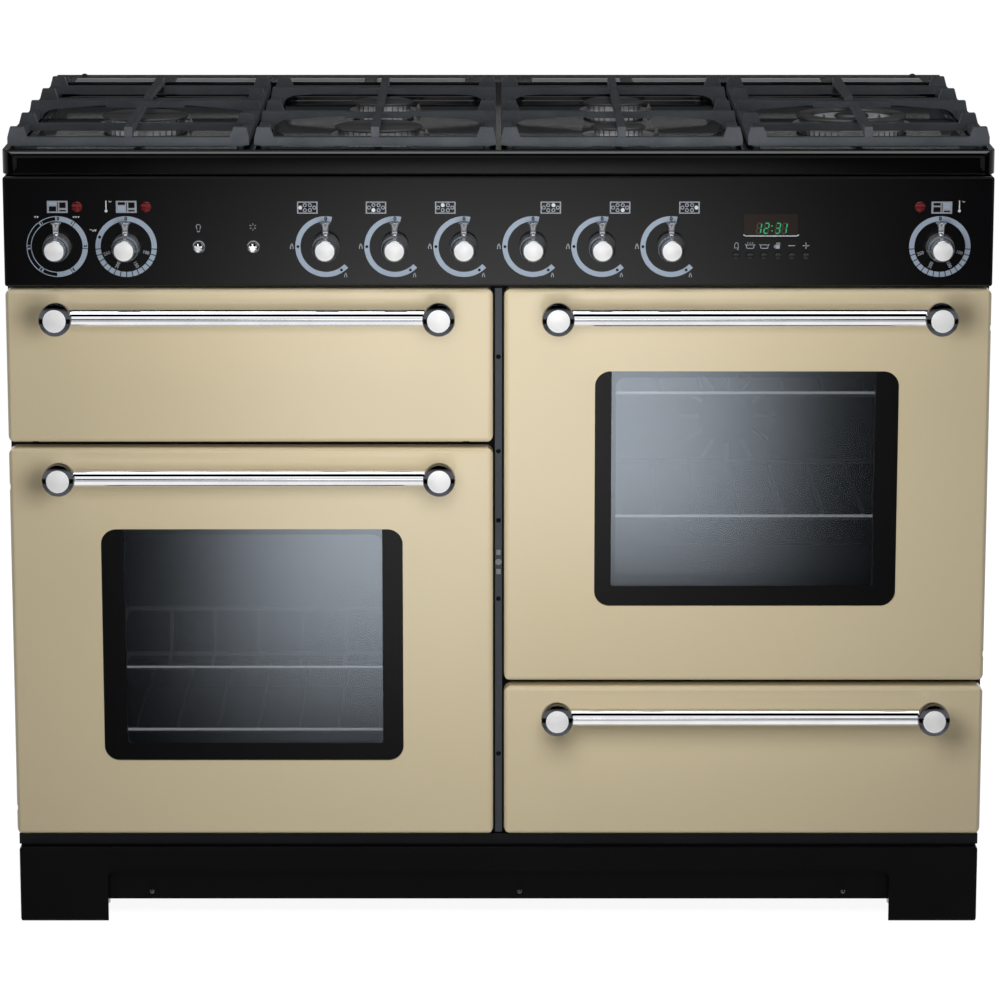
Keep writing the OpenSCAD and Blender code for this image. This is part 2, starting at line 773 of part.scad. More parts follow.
module flue_grille() {
  group_x = 94;
  group_l = 107;
  group_pitch = 122;
  half = casing_x - 3;
  skin = 2;
  color(black) difference() {
    translate([0, flue_y + flue_d, hob_top]) rotate([90, 0, 0])
      linear_extrude(flue_d) translate([0, flue_h / 2]) square([2 * half, flue_h], center = true);
    block(skin - half, half - skin, flue_y + skin, flue_y + flue_d - skin,
      hob_top - cut, hob_top + flue_h - skin);
    for (s = [-1, 1], g = [0 : 3], i = [0 : 2])
      translate([s * (group_x + g * group_pitch), flue_y + 10 + i * 2 * flue_slot_w, hob_top + flue_h])
        cube([group_l, flue_slot_w, 4 * skin], center = true);
    for (s = [-1, 1]) translate([s * splash_pitch / 2, back_y - 16, hob_top + flue_h - 2 * skin])
      cylinder(h = 4 * skin, r = splash_r);
  }
}

// The underside of an arched arm, from the arch's crown at x to its foot; side is the foot's side
function arch(x, side) = [for (i = [0 : 8]) let (a = 90 * i / 8)
  [x + side * arch_w * sin(a), support_pad_h + arch_h * cos(a)]];
// One arm row of a pan support, in X and Z: two arched arms with their tips at tip and a low link between
module arm_row(tip) {
  half = support_w / 2;
  foot = half - support_bar_w;
  top = support_h;
  link_z = top - link_drop - link_h;
  for (s = [-1, 1]) mirror([s < 0 ? 1 : 0, 0])
    polygon(concat(
      [[half, support_pad_h], [half, bar_top], [half - 2, top], [tip, top], [tip, top - tip_h]],
      arch(foot - 2 - arch_w, 1)
    ));
  translate([-tip - 1, link_z]) square([2 * tip + 2, link_h]);
}
// A lug at each end of a row, in X and Z
module lug_row() {
  half = support_w / 2;
  for (s = [-1, 1]) mirror([s < 0 ? 1 : 0, 0])
    polygon([
      [half, support_pad_h + 1], [half, bar_top], [half - 3, support_h], [half - lug_w + 5, support_h],
      [half - lug_w, bar_top - 3], [half - support_bar_w, support_pad_h + 1]
    ]);
}
// A finger along Y from the front bar to the point tip
module finger(tip) {
  top = support_h;
  translate([-rib_w / 2, 0, 0]) rotate([90, 0, 90]) linear_extrude(rib_w) polygon(concat(
    [[2, bar_top], [5, top], [tip, top], [tip, top - tip_h]],
    arch(support_bar_w + 2 + arch_w, -1),
    [[2, support_pad_h]]
  ));
}
module support_ring() {
  translate([0, support_d / 2, support_pad_h]) linear_extrude(support_bar_h) difference() {
    round_rect(support_w, support_d, 8);
    round_rect(support_w - 2 * support_bar_w, support_d - 2 * support_bar_w, 6);
  }
  for (x = [-1, 1], y = [10, support_d - 10]) translate([x * (support_w / 2 - 10), y, 0])
    cylinder(h = support_pad_h + 1, r = 4);
}
function row_y(i) = support_bar_w + row_pitch * i;
module at_row(i) {
  y = i == 0 ? 0 : (i == 4 ? support_d - arm_t : row_y(i) - arm_t / 2);
  upright(y, arm_t) children();
}
module cross_bar(i) {
  block(support_bar_w - support_w / 2 - 2, support_w / 2 - support_bar_w + 2,
    row_y(i) - arm_t / 2, row_y(i) + arm_t / 2, support_pad_h + 1, bar_top - 0.5);
}
module side_support() {
  reach = burner_mid_d - support_set_back - side_tip + 8;
  support_ring();
  for (i = [0, 1, 3, 4]) at_row(i) lug_row();
  at_row(2) arm_row(side_tip);
  for (i = [1, 3]) cross_bar(i);
  finger(reach);
  translate([0, support_d, 0]) mirror([0, 1, 0])
    finger(support_d - 2 * (burner_mid_d - support_set_back) + reach);
}
module centre_support() {
  front_b = burner_front_d - support_set_back;
  rear_b = burner_rear_d - support_set_back;
  gap = centre_tip - 4;
  link_z = support_h - link_drop - link_h;
  support_ring();
  for (i = [0, 2, 4]) at_row(i) lug_row();
  for (y = [front_b, rear_b]) translate([0, y - arm_t / 2, 0]) upright(0, arm_t) arm_row(centre_tip);
  finger(front_b - gap);
  translate([0, support_d, 0]) mirror([0, 1, 0]) finger(support_d - rear_b - gap);
  block(-rib_w / 2, rib_w / 2, front_b + gap, rear_b - gap, link_z, support_h);
  block(-rib_w / 2 + 1, rib_w / 2 - 1, front_b - gap - 2, rear_b + gap + 2, link_z, support_h - link_drop);
}
module side_pan_supports() {
  color(iron) for (x = [-side_support_x, side_support_x]) translate([x, support_y, hob_top]) side_support();
}
module centre_pan_supports() {
  color(iron) for (x = [-centre_support_x, centre_support_x])
    translate([x, support_y, hob_top]) centre_support();
}

// Controls on the fascia
outer_knob_x = side_x - knob_end;
knob_x = [-outer_knob_x, oven_knob_pitch - outer_knob_x, outer_knob_x];
function hob_knob_x(i) = (i - 2.5) * knob_pitch;
function clock_button_x(i) = clock_x + (i - 2.5) * clock_pitch;
clock_button_z = knob_z + clock_button_rise;
lens_z = knob_z + clock_rise;
stem_r = 2.5;
clock_stem_r = 1.8;
switch_d = 28;
pointer_depth = 12;

module fascia() {
  w = overall_w - 2 * side_inset;
  depth = frame_y - front_y;
  color(black) difference() {
    translate([0, front_y, fascia_z]) difference() {
      rolled_slab(w, fascia_h, depth, 2.5, 4);
      block(sheet - w / 2, w / 2 - sheet, sheet, depth + cut, sheet, fascia_h - sheet);
    }
    translate([0, front_y - cut, knob_z]) rotate([-90, 0, 0]) {
      for (x = knob_x) translate([x, 0, 0]) cylinder(h = sheet + 2 * cut, r = shaft_r + 1);
      for (i = [0 : 5]) translate([hob_knob_x(i), 0, 0]) cylinder(h = sheet + 2 * cut, r = shaft_r + 1);
      for (x = [light_x, ignition_x]) translate([x, 0, 0]) cylinder(h = sheet + 2 * cut, r = stem_r + 0.5);
      for (i = [0 : 5]) translate([clock_button_x(i), -clock_button_rise, 0])
        cylinder(h = sheet + 2 * cut, r = clock_stem_r + 0.5);
      for (x = knob_x) translate([x + (x < 0 ? neon_dx : -neon_dx), -neon_rise, 0])
        cylinder(h = sheet + 2 * cut, r = neon_r + 0.2);
    }
    block(clock_x - lens_w / 2, clock_x + lens_w / 2, front_y - cut, skin_y + cut,
      lens_z - lens_h / 2, lens_z + lens_h / 2);
  }
  // The return that stands on the front frame
  color(black) block(-casing_x, casing_x, frame_y - eps, liner_y, fascia_z, fascia_z + sheet);
}
module control_modules() {
  color(charcoal) {
    for (x = knob_x) difference() {
      block(x - 21, x + 21, skin_y, skin_y + switch_d, knob_z - 21, knob_z + 21);
      translate([x, skin_y - cut, knob_z]) rotate([-90, 0, 0])
        cylinder(h = socket_l + cut, r = shaft_r + run_fit);
    }
    for (x = [light_x, ignition_x]) difference() {
      block(x - 11, x + 11, skin_y, skin_y + switch_d, knob_z - 11, knob_z + 11);
      translate([x, skin_y - cut, knob_z]) rotate([-90, 0, 0])
        cylinder(h = socket_l + cut, r = stem_r + run_fit);
    }
    difference() {
      block(clock_x - 52, clock_x + 52, skin_y, skin_y + switch_d,
        clock_button_z - 10, lens_z + lens_h / 2 + 8);
      for (i = [0 : 5]) translate([clock_button_x(i), skin_y - cut, clock_button_z]) rotate([-90, 0, 0])
        cylinder(h = 9 + cut, r = clock_stem_r + run_fit);
    }
  }
}
module display_lens() {
  gap = 0.2;
  color(glass) block(clock_x - lens_w / 2 + gap, clock_x + lens_w / 2 - gap, front_y + 0.4, skin_y,
    lens_z - lens_h / 2 + gap, lens_z + lens_h / 2 - gap);
}
module indicator_neons() {
  color("red") for (x = knob_x) translate([x + (x < 0 ? neon_dx : -neon_dx), skin_y + 10, knob_z + neon_rise])
    rotate([90, 0, 0]) rotate_extrude() polygon(concat(
      [[0, 0], [neon_r + 2, 0], [neon_r + 2, 10], [neon_r, 10]],
      [for (i = [0 : 6]) [neon_r * cos(15 * i), 10 + sheet + 3 * sin(15 * i)]]
    ));
}
module turn_knob(x) {
  color(chrome) translate([x, front_y, knob_z]) rotate([90, 0, 0]) {
    rotate_extrude() polygon([
      [0, 1], [knob_r, 1], [knob_r, 5], [knob_r - 0.8, 7], [knob_r - 0.8, knob_l - 18],
      [knob_r - 1.4, knob_l - 16.6], [knob_nose_r + 1, knob_l - 11], [knob_nose_r, knob_l - 4],
      [knob_nose_r - 0.5, knob_l - 1.5], [knob_nose_r - 1.6, knob_l], [0, knob_l]
    ]);
    translate([0, 0, pointer_depth]) rotate([-90, 0, 0]) rotate_extrude() polygon([
      [0, 10], [3.4, 10], [3.4, pointer_l - 9], [4, pointer_l - 4.5], [5, pointer_l - 2.2],
      [6, pointer_l - 1.2], [6, pointer_l - 0.4], [5.4, pointer_l], [0, pointer_l]
    ]);
    translate([0, 0, -socket_l + 1]) cylinder(h = socket_l + 1, r = shaft_r);
  }
}
module push_button(x) {
  color(chrome) translate([x, front_y, knob_z]) rotate([90, 0, 0]) {
    rotate_extrude() polygon([
      [0, button_travel + 0.5], [button_r, button_travel + 0.5], [button_r, button_l - 3.2],
      [button_r - 0.8, button_l - 1.2], [button_r - 2.4, button_l], [0, button_l]
    ]);
    translate([0, 0, -10]) cylinder(h = 11 + button_travel, r = stem_r);
  }
}
module clock_button(i) {
  rise = clock_button_l - clock_travel;
  foot = clock_travel + seat_gap;
  color(black) translate([clock_button_x(i), front_y, clock_button_z]) rotate([90, 0, 0]) {
    rotate_extrude() polygon([
      [0, foot], [clock_button_r, foot], [clock_button_r - 0.4, foot + rise / 2],
      [clock_button_r / 2, foot + rise - 0.2], [0, foot + rise]
    ]);
    translate([0, 0, -8]) cylinder(h = 8 + clock_travel + 1, r = clock_stem_r);
  }
}

module gas_rail() {
  half = 2.5 * knob_pitch + 26;
  tap_y = skin_y + 3;
  color(brass) difference() {
    union() {
      translate([-half, rail_y, knob_z]) rotate([0, 90, 0]) cylinder(h = half + gas_x + rail_r, r = rail_r);
      for (i = [0 : 5]) translate([hob_knob_x(i), tap_y, knob_z]) rotate([-90, 0, 0])
        cylinder(h = rail_y - tap_y, r = tap_r);
      translate([gas_x, rail_y, knob_z - rail_r])
        cylinder(h = gas_z - knob_z + 2 * rail_r + 2, r = rail_r + 1.5);
      translate([gas_x, rail_y, gas_z]) rotate([-90, 0, 0])
        cylinder(h = back_y - rail_y - 2 - gas_thread_l + eps, r = gas_thread_r - 1);
      translate([gas_x, back_y - 2 - gas_thread_l, gas_z]) rotate([-90, 0, 0]) difference() {
        cylinder(h = gas_thread_l, r = gas_thread_r);
        translate([0, 0, 4]) cylinder(h = gas_thread_l, r = gas_thread_r - 3);
      }
      translate([gas_x, panel_y - sheet - 8, gas_z]) rotate([-90, 0, 0])
        cylinder(h = 8, r = gas_thread_r + 5);
      translate([gas_x, panel_y - sheet - eps, gas_z]) rotate([-90, 0, 0])
        cylinder(h = 2 * sheet + eps, r = gas_thread_r);
    }
    for (i = [0 : 5]) translate([hob_knob_x(i), tap_y - cut, knob_z]) rotate([-90, 0, 0])
      cylinder(h = socket_l + cut, r = shaft_r + run_fit);
  }
}

// An open box with a flange round its mouth
module liner(w, h, d, z) {
  outer_w = w + 2 * sheet;
  outer_h = h + 2 * sheet;
  translate([0, liner_y, z + h / 2]) difference() {
    union() {
      upright(0, d + sheet) round_rect(outer_w, outer_h, oven_r + sheet);
      upright(0, sheet)
        round_rect(outer_w + 2 * liner_flange, outer_h + 2 * liner_flange, oven_r + liner_flange);
    }
    upright(-cut, d + cut) round_rect(w, h, oven_r);
  }
}
module left_oven_liner() {
  color(enamel) translate([-front_x, 0, 0]) liner(oven_w, oven_h, oven_d, left_oven_z);
}
module right_oven_liner() {
  color(enamel) difference() {
    translate([front_x, 0, 0]) liner(oven_w, oven_h, oven_d, right_oven_z);
    translate([front_x, oven_back_y - cut, right_oven_z + oven_mid_z]) rotate([-90, 0, 0])
      cylinder(h = sheet + 2 * cut, r = 6);
  }
}
pan_ledge = 10;
pan_z = grill_z + 8;
pan_h = 30;
pan_half = oven_w / 2 - pan_ledge - 2;
module grill_liner() {
  ledge_z = pan_z + pan_h - sheet - seat_gap;
  color(enamel) translate([-front_x, 0, 0]) {
    liner(oven_w, grill_h, grill_d, grill_z);
    for (s = [-1, 1]) mirror([s < 0 ? 1 : 0, 0, 0])
      block(oven_w / 2 - pan_ledge, oven_w / 2 + eps, liner_y + 20, liner_y + grill_d, ledge_z - 3, ledge_z);
  }
}
module grill_pan() {
  y1 = liner_y + 25;
  y2 = liner_y + grill_d - 60;
  rim = oven_w / 2 - 4;
  color(enamel) translate([-front_x, 0, 0]) difference() {
    union() {
      block(-pan_half, pan_half, y1, y2, pan_z, pan_z + pan_h);
      block(-rim, rim, y1, y2, pan_z + pan_h - sheet, pan_z + pan_h);
    }
    block(sheet - pan_half, pan_half - sheet, y1 + sheet, y2 - sheet, pan_z + sheet, pan_z + pan_h + cut);
  }
  // The trivet inside the pan
  trivet_z = pan_z + sheet + 12;
  color(chrome) translate([-front_x, 0, trivet_z]) {
    for (i = [-4 : 4]) translate([i * 40, y1 + 16, 0]) rotate([-90, 0, 0])
      cylinder(h = y2 - y1 - 32, r = 2, $fn = 24);
    for (y = [y1 + 20, y2 - 20]) translate([-pan_half + 10, y, 1]) rotate([0, 90, 0])
      cylinder(h = 2 * pan_half - 20, r = 2.5, $fn = 24);
    for (x = [-120, 120], y = [y1 + 20, y2 - 20]) translate([x, y, -12])
      cylinder(h = 13, r = 2.5, $fn = 24);
  }
}

// Side ladders that hold the shelves, for an oven whose floor is at z
module ladders(z) {
  y1 = shelf_y - 10;
  for (s = [-1, 1]) mirror([s < 0 ? 1 : 0, 0, 0]) {
    for (y = [y1 + 30, y1 + rung_l - 30]) translate([ladder_x, y, z + 20])
      cylinder(h = oven_h - 40, r = wire_r, $fn = 24);
    for (y = [y1 + 30, y1 + rung_l - 30], dz = [30, oven_h - 30]) translate([ladder_x, y, z + dz])
      rotate([0, 90, 0]) cylinder(h = oven_w / 2 - ladder_x, r = wire_r, $fn = 24);
    for (i = [0 : 3]) translate([rung_x, y1, z + rung_low + rung_pitch * i]) rotate([-90, 0, 0])
      cylinder(h = rung_l, r = wire_r, $fn = 24);
  }
}
// A wire shelf whose side wires lie on the rungs at height z
module shelf(z) {
  n = floor((shelf_half - 10) / wire_pitch);
  for (s = [-1, 1]) translate([s * shelf_half, shelf_y, z]) rotate([-90, 0, 0])
    cylinder(h = shelf_d, r = wire_r, $fn = 24);
  for (y = [shelf_y, shelf_y + shelf_d]) translate([-shelf_half, y, z]) rotate([0, 90, 0])
    cylinder(h = 2 * shelf_half, r = wire_r, $fn = 24);
  for (x = [-1, 1], y = [shelf_y, shelf_y + shelf_d]) translate([x * shelf_half, y, z])
    sphere(wire_r, $fn = 24);
  for (i = [-n : n]) translate([i * wire_pitch, shelf_y, z + 1]) rotate([-90, 0, 0])
    cylinder(h = shelf_d, r = wire_r - 1, $fn = 24);
}
function rung_z(level) = rung_low + rung_pitch * level;
function on_rung(level) = rung_z(level) + sqrt(4 * wire_r * wire_r - 1) + seat_gap / 2;
module oven_racks() {
  color(chrome) {
    translate([-front_x, 0, 0]) {
      ladders(left_oven_z);
      shelf(left_oven_z + on_rung(0));
    }
    translate([front_x, 0, 0]) {
      ladders(right_oven_z);
      shelf(right_oven_z + on_rung(1));
      shelf(right_oven_z + on_rung(3));
    }
  }
}

fan_z = right_oven_z + oven_mid_z;
fan_y = oven_back_y - 26;
module fan_cover() {
  y1 = oven_back_y - cover_d;
  color(enamel) translate([front_x, 0, fan_z]) difference() {
    upright(y1, cover_d) round_rect(cover_w, cover_h, 16);
    upright(y1 + sheet, cover_d) round_rect(cover_w - 2 * sheet, cover_h - 2 * sheet, 14);
    for (a = [0 : 30 : 330]) translate([0, y1 - cut, 0]) rotate([0, a, 0]) translate([34, 0, -2.5])
      cube([24, sheet + 2 * cut, 5]);
    for (s = [-1, 1], i = [-3 : 3]) translate([s * (cover_w / 2 - 20), y1 - cut, i * 22 - 3])
      translate([-9, 0, 0]) cube([18, sheet + 2 * cut, 6]);
  }
}
module fan_motor() {
  y1 = oven_back_y + sheet;
  color(zinc) translate([front_x, y1, fan_z]) difference() {
    union() {
      rotate([-90, 0, 0]) cylinder(h = 40, r = 32);
      block(-45, 45, 0, 3, -45, 45);
    }
    rotate([-90, 0, 0]) translate([0, 0, -cut]) cylinder(h = 26 + cut, r = 3 + run_fit);
  }
}
module fan_impeller() {
  hub_r = 9;
  color(alloy) translate([front_x, fan_y, fan_z]) rotate([-90, 0, 0]) {
    translate([0, 0, 8]) cylinder(h = 2, r = fan_r);
    translate([0, 0, -6]) cylinder(h = 16, r = hub_r);
    translate([0, 0, 8]) cylinder(h = 18 + sheet + 22, r = 3);
    for (i = [0 : fan_blades - 1]) rotate(360 / fan_blades * i) translate([fan_r * 0.5, -1, -9])
      rotate([0, 0, 12]) cube([fan_r * 0.46, 2, 18]);
  }
}
// A sheathed element bent to and fro: the runs lie along Y, and both ends reach the rear wall at y2
module serpentine(w, runs, y1, y2, z) {
  pitch = w / (runs - 1);
  turn = 10;
  far = y2 - 30;
  points = concat(
    [[-w / 2, y2, z]],
    [for (i = [0 : runs - 2], k = [0 : 3])
      let (
        x = i * pitch - w / 2 + [0, turn, pitch - turn, pitch][k],
        edge = i % 2 == 0 ? y1 : far,
        inward = i % 2 == 0 ? turn : -turn
      )
      [x, edge + (k == 0 || k == 3 ? inward : 0), z]],
    [[w / 2, y2, z]]
  );
  wire(points, element_r);
}
element_r = 3.25;
element_side = 50;
grill_element_side = 55;
module heating_elements() {
  ring_r = 95;
  ring_y = oven_back_y - 22;
  tail_r = element_r - 0.75;
  color(charcoal) {
    translate([-front_x, 0, 0]) {
      serpentine(oven_w - 2 * grill_element_side, 6, liner_y + 40, liner_y + grill_d, grill_z + grill_h - 14);
      serpentine(oven_w - 2 * element_side, 4, liner_y + 60, oven_back_y, left_oven_z + oven_h - 14);
    }
    translate([front_x, ring_y, fan_z]) rotate([-90, 0, 0]) {
      rotate_extrude() translate([ring_r, 0]) circle(element_r, $fn = 24);
      for (x = [-12, 12]) translate([x, -sqrt(ring_r * ring_r - x * x), 0])
        cylinder(h = oven_back_y - ring_y, r = tail_r, $fn = 24);
    }
  }
}

module levelling_feet() {
  color(zinc) for (x = [-foot_x, foot_x], y = [foot_y1, foot_y2]) translate([x, y, 0]) {
    cylinder(h = base_top + 6, r = stud_r);
    rotate_extrude() polygon([[0, 0], [foot_r, 0], [foot_r, 6], [foot_r - 4, 9], [stud_r + 3, 12], [0, 12]]);
  }
}
module door_hardware() {
  catch_z = (right_front_z + low_gap_z) / 2;
  color(zinc) {
    at_side_hinges(-1, fronts_z) hinge_bracket();
    at_side_hinges(1, right_front_z) hinge_bracket();
    at_grill_hinges() hinge_bracket();
    // The catch on the strip between the doors
    translate([0, front_y + 18, catch_z]) rotate([90, 0, 0]) cylinder(h = 2, r = 3.6);
    for (s = [-1, 1]) translate([0, front_y + 17, catch_z + s * 11]) cube([5, 2, 6], center = true);
  }
}
module oven_seals() {
  lap = 6;
  seal_w = 8;
  t = door_gap - seat_gap;
  color("black") for (p = [[-front_x, left_oven_z], [front_x, right_oven_z]])
    upright(frame_y - t, t) translate([p[0], p[1] + oven_mid_z]) difference() {
      round_rect(oven_w + 2 * (lap + seal_w), oven_h + 2 * (lap + seal_w), oven_r + lap + seal_w);
      round_rect(oven_w + 2 * lap, oven_h + 2 * lap, oven_r + lap);
    }
}

module left_door_panel() {
  oven_door_panel(-1, fronts_z);
}
module left_door_glass() {
  oven_door_glass(-1, fronts_z);
}
module left_door_inner() {
  oven_door_inner(-1, fronts_z);
}
module left_door_handle() {
  front_handle(-1, low_gap_z);
}
// The wire rack on the inside of the left door: a tray on two uprights, with a low fence round it
module left_door_rack() {
  half = door_rack_w / 2;
  r = wire_r - 0.5;
  post = wire_r + 0.3;
  y1 = inner_back_y + post + 2;
  y2 = y1 + door_rack_d;
  z1 = fronts_z + oven_front_h / 2 + door_rack_z;
  z2 = z1 + door_rack_h;
  lean = 14;
  bars = 6;
  foot_x = aperture_w / 2 + pane_lap + pan_rim + post;
  color(chrome) translate([-front_x, 0, 0]) {
    for (z = [z1, z2]) {
      back = z == z1 ? y2 - lean : y2;
      for (s = [-1, 1]) {
        translate([s * half, y1, z]) rotate([-90, 0, 0]) cylinder(h = back - y1, r = r, $fn = 24);
        translate([s * half, back, z]) sphere(r + 0.4, $fn = 24);
      }
      translate([-half, back, z]) rotate([0, 90, 0]) cylinder(h = 2 * half, r = r, $fn = 24);
    }
    for (i = [1 : bars - 1]) {
      x = i * door_rack_w / bars - half;
      translate([x, y1 + 6, z1 + 1]) rotate([-90, 0, 0])
        cylinder(h = y2 - lean - y1 - 6, r = r - 0.5, $fn = 24);
      translate([x, y2 - lean, z1]) rotate([-atan2(lean, door_rack_h), 0, 0])
        cylinder(h = norm([lean, door_rack_h]), r = r - 0.7, $fn = 24);
    }
    translate([-half, y1 + 6, z1 + 1]) rotate([0, 90, 0]) cylinder(h = 2 * half, r = r - 0.3, $fn = 24);
    for (s = [-1, 1]) {
      translate([s * half, y1, z1 - 20]) cylinder(h = door_rack_h + 38, r = post, $fn = 24);
      for (z = [z1 - 12, z2 + 10]) {
        translate([s * min(half, foot_x), y1, z]) rotate([0, s * 90, 0])
          cylinder(h = abs(foot_x - half), r = r, $fn = 24);
        translate([s * foot_x, inner_back_y, z]) rotate([-90, 0, 0])
          cylinder(h = y1 - inner_back_y + post, r = post + 1, $fn = 24);
      }
    }
  }
}
module right_door_panel() {
  oven_door_panel(1, right_front_z);
}
module right_door_glass() {
  oven_door_glass(1, right_front_z);
}
module right_door_inner() {
  oven_door_inner(1, right_front_z);
}
module right_door_handle() {
  front_handle(1, fronts_top);
}
module grill_door_panel() {
  color(cream) difference() {
    translate([-front_x, front_y, grill_front_z]) pressed_front(small_front_h);
    at_grill_hinges() hinge_notch();
    at_grill_hinges() knuckle_slot();
  }
  color(enamel) {
    difference() {
      translate([-front_x, inner_y + joint_gap, grill_front_z]) inner_pan(small_front_h);
      at_grill_hinges() hinge_notch();
    }
    at_grill_hinges() hinge_knuckle();
  }
}
module grill_door_handle() {
  front_handle(-1, fronts_top);
}
module drawer_front() {
  color(cream) translate([front_x, front_y, fronts_z]) pressed_front(small_front_h);
  color(cream) translate([front_x, inner_y + joint_gap, fronts_z]) upright(0, sheet)
    translate([0, small_front_h / 2])
      round_rect(front_w - 2 * inner_inset, small_front_h - 2 * inner_inset, 4);
}
module drawer_tray() {
  half = tray_w / 2;
  color(zinc) translate([front_x, tray_y, tray_z]) difference() {
    union() {
      block(-half, half, 0, tray_d, 0, tray_h);
      block(-half - rim_w, half + rim_w, frame_t, tray_d, tray_h - sheet, tray_h);
    }
    block(sheet - half, half - sheet, sheet, tray_d - sheet, sheet, tray_h + cut);
  }
}
module drawer_handle() {
  front_handle(1, fronts_z + small_front_h);
}

base_frame();
plinth();
side_panels();
back_panel();
front_frame();
hotplate();
flue_grille();
fascia();
control_modules();
display_lens();
indicator_neons();
left_oven_liner();
right_oven_liner();
grill_liner();
oven_racks();
fan_cover();
fan_motor();
heating_elements();
grill_pan();
burner_heads();
burner_caps();
spark_electrodes();
side_pan_supports();
centre_pan_supports();
gas_rail();
levelling_feet();
door_hardware();
oven_seals();
left_door_panel();
left_door_glass();
left_door_inner();
left_door_handle();
left_door_rack();
right_door_panel();
right_door_glass();
right_door_inner();
right_door_handle();
grill_door_panel();
grill_door_handle();
drawer_front();
drawer_tray();
drawer_handle();
turn_knob(knob_x[0]);  // grill_knob
turn_knob(knob_x[1]);  // left_oven_knob
turn_knob(knob_x[2]);  // right_oven_knob
turn_knob(hob_knob_x(0));  // hob_knob_1
turn_knob(hob_knob_x(1));  // hob_knob_2
turn_knob(hob_knob_x(2));  // hob_knob_3
turn_knob(hob_knob_x(3));  // hob_knob_4
turn_knob(hob_knob_x(4));  // hob_knob_5
turn_knob(hob_knob_x(5));  // hob_knob_6
push_button(light_x);  // light_button
push_button(ignition_x);  // ignition_button
clock_button(0);  // clock_button_1
clock_button(1);  // clock_button_2
clock_button(2);  // clock_button_3
clock_button(3);  // clock_button_4
clock_button(4);  // clock_button_5
clock_button(5);  // clock_button_6
fan_impeller();
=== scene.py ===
"""Looks for the range cooker: materials, trim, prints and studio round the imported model."""
import json
import math

import bmesh
import bpy
from mathutils import Matrix, Vector


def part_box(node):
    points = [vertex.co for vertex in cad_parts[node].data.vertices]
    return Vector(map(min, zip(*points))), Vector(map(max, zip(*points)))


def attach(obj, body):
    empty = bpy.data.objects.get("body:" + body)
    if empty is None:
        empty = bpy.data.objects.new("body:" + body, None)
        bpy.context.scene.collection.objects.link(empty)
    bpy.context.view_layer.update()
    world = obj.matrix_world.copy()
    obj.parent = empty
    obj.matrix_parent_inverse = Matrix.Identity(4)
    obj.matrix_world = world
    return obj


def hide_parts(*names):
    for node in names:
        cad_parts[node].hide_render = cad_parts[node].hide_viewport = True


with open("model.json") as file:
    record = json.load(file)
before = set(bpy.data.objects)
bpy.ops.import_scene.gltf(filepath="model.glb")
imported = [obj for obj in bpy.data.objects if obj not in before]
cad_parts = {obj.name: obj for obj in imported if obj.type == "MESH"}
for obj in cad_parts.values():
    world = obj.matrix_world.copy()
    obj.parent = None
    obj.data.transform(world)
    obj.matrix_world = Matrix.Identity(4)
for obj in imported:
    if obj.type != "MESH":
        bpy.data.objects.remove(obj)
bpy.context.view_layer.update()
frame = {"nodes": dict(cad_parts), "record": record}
MM = 0.001
WHITE = (1, 1, 1, 1)
OBJECT_PLACE = 3            # the Texture Coordinate node's output for a point on the object

# Millimetres, in the frame of the CAD model
FRONT = -276.0              # the front plane of the fascia, doors, drawer and plinth
CLOCK_FACE = -275.6         # the clock window's
STRIP_FACE = -258           # the strip's between the doors
PLINTH_SEAT = -275.9        # where the plinth's screws sit, just inside its face
HOB_FRONT = -270            # the hob's front face lies before it
BAR_Y = -310                # the middle of the handles' bars
PROUD = 0.15                # how far a print stands out of its face
FAINT_PROUD = 0.1           # the same for the clock's unlit bars
OVER = 0.25                 # the same for a print on another print
SUNK = 0.1                  # how far a print reaches into its face

# Degrees
FLAT = 0.6                  # faces that bend less are one face
SHARP = 30                  # edges that bend more are rounded
EASED_SMOOTH = 40           # edges that bend less are shaded round: on the CAD's own shapes
TURNED_SMOOTH = 35          # and on turned ones


# Shader maths

class Value:
    """One output socket. Maths with it adds nodes to its net."""

    def __init__(self, net, socket):
        self.net = net
        self.socket = socket

    def maths(self, operation, *others):
        """The outcome of a Math node on this value and the others."""
        return self.net.node("ShaderNodeMath", {"operation": operation},
                             dict(enumerate((self, *others))))

    def __add__(self, other):
        return self.maths("ADD", other)

    __radd__ = __add__

    def __mul__(self, other):
        return self.maths("MULTIPLY", other)

    __rmul__ = __mul__

    def __sub__(self, other):
        return self.maths("SUBTRACT", other)

    def __rsub__(self, other):
        return self.net.node("ShaderNodeMath", {"operation": "SUBTRACT"}, {0: other, 1: self})

    def size(self):
        """The value without its sign."""
        return self.maths("ABSOLUTE")

    def clamp(self):
        """The value kept from 0 to 1."""
        return self.net.node("ShaderNodeClamp", {}, {0: self})

    def between(self, low, high):
        """0 below low, 1 above high and smooth between them."""
        return self.net.node("ShaderNodeMapRange", {"interpolation_type": "SMOOTHSTEP"},
                             {"Value": self, "From Min": low, "From Max": high})


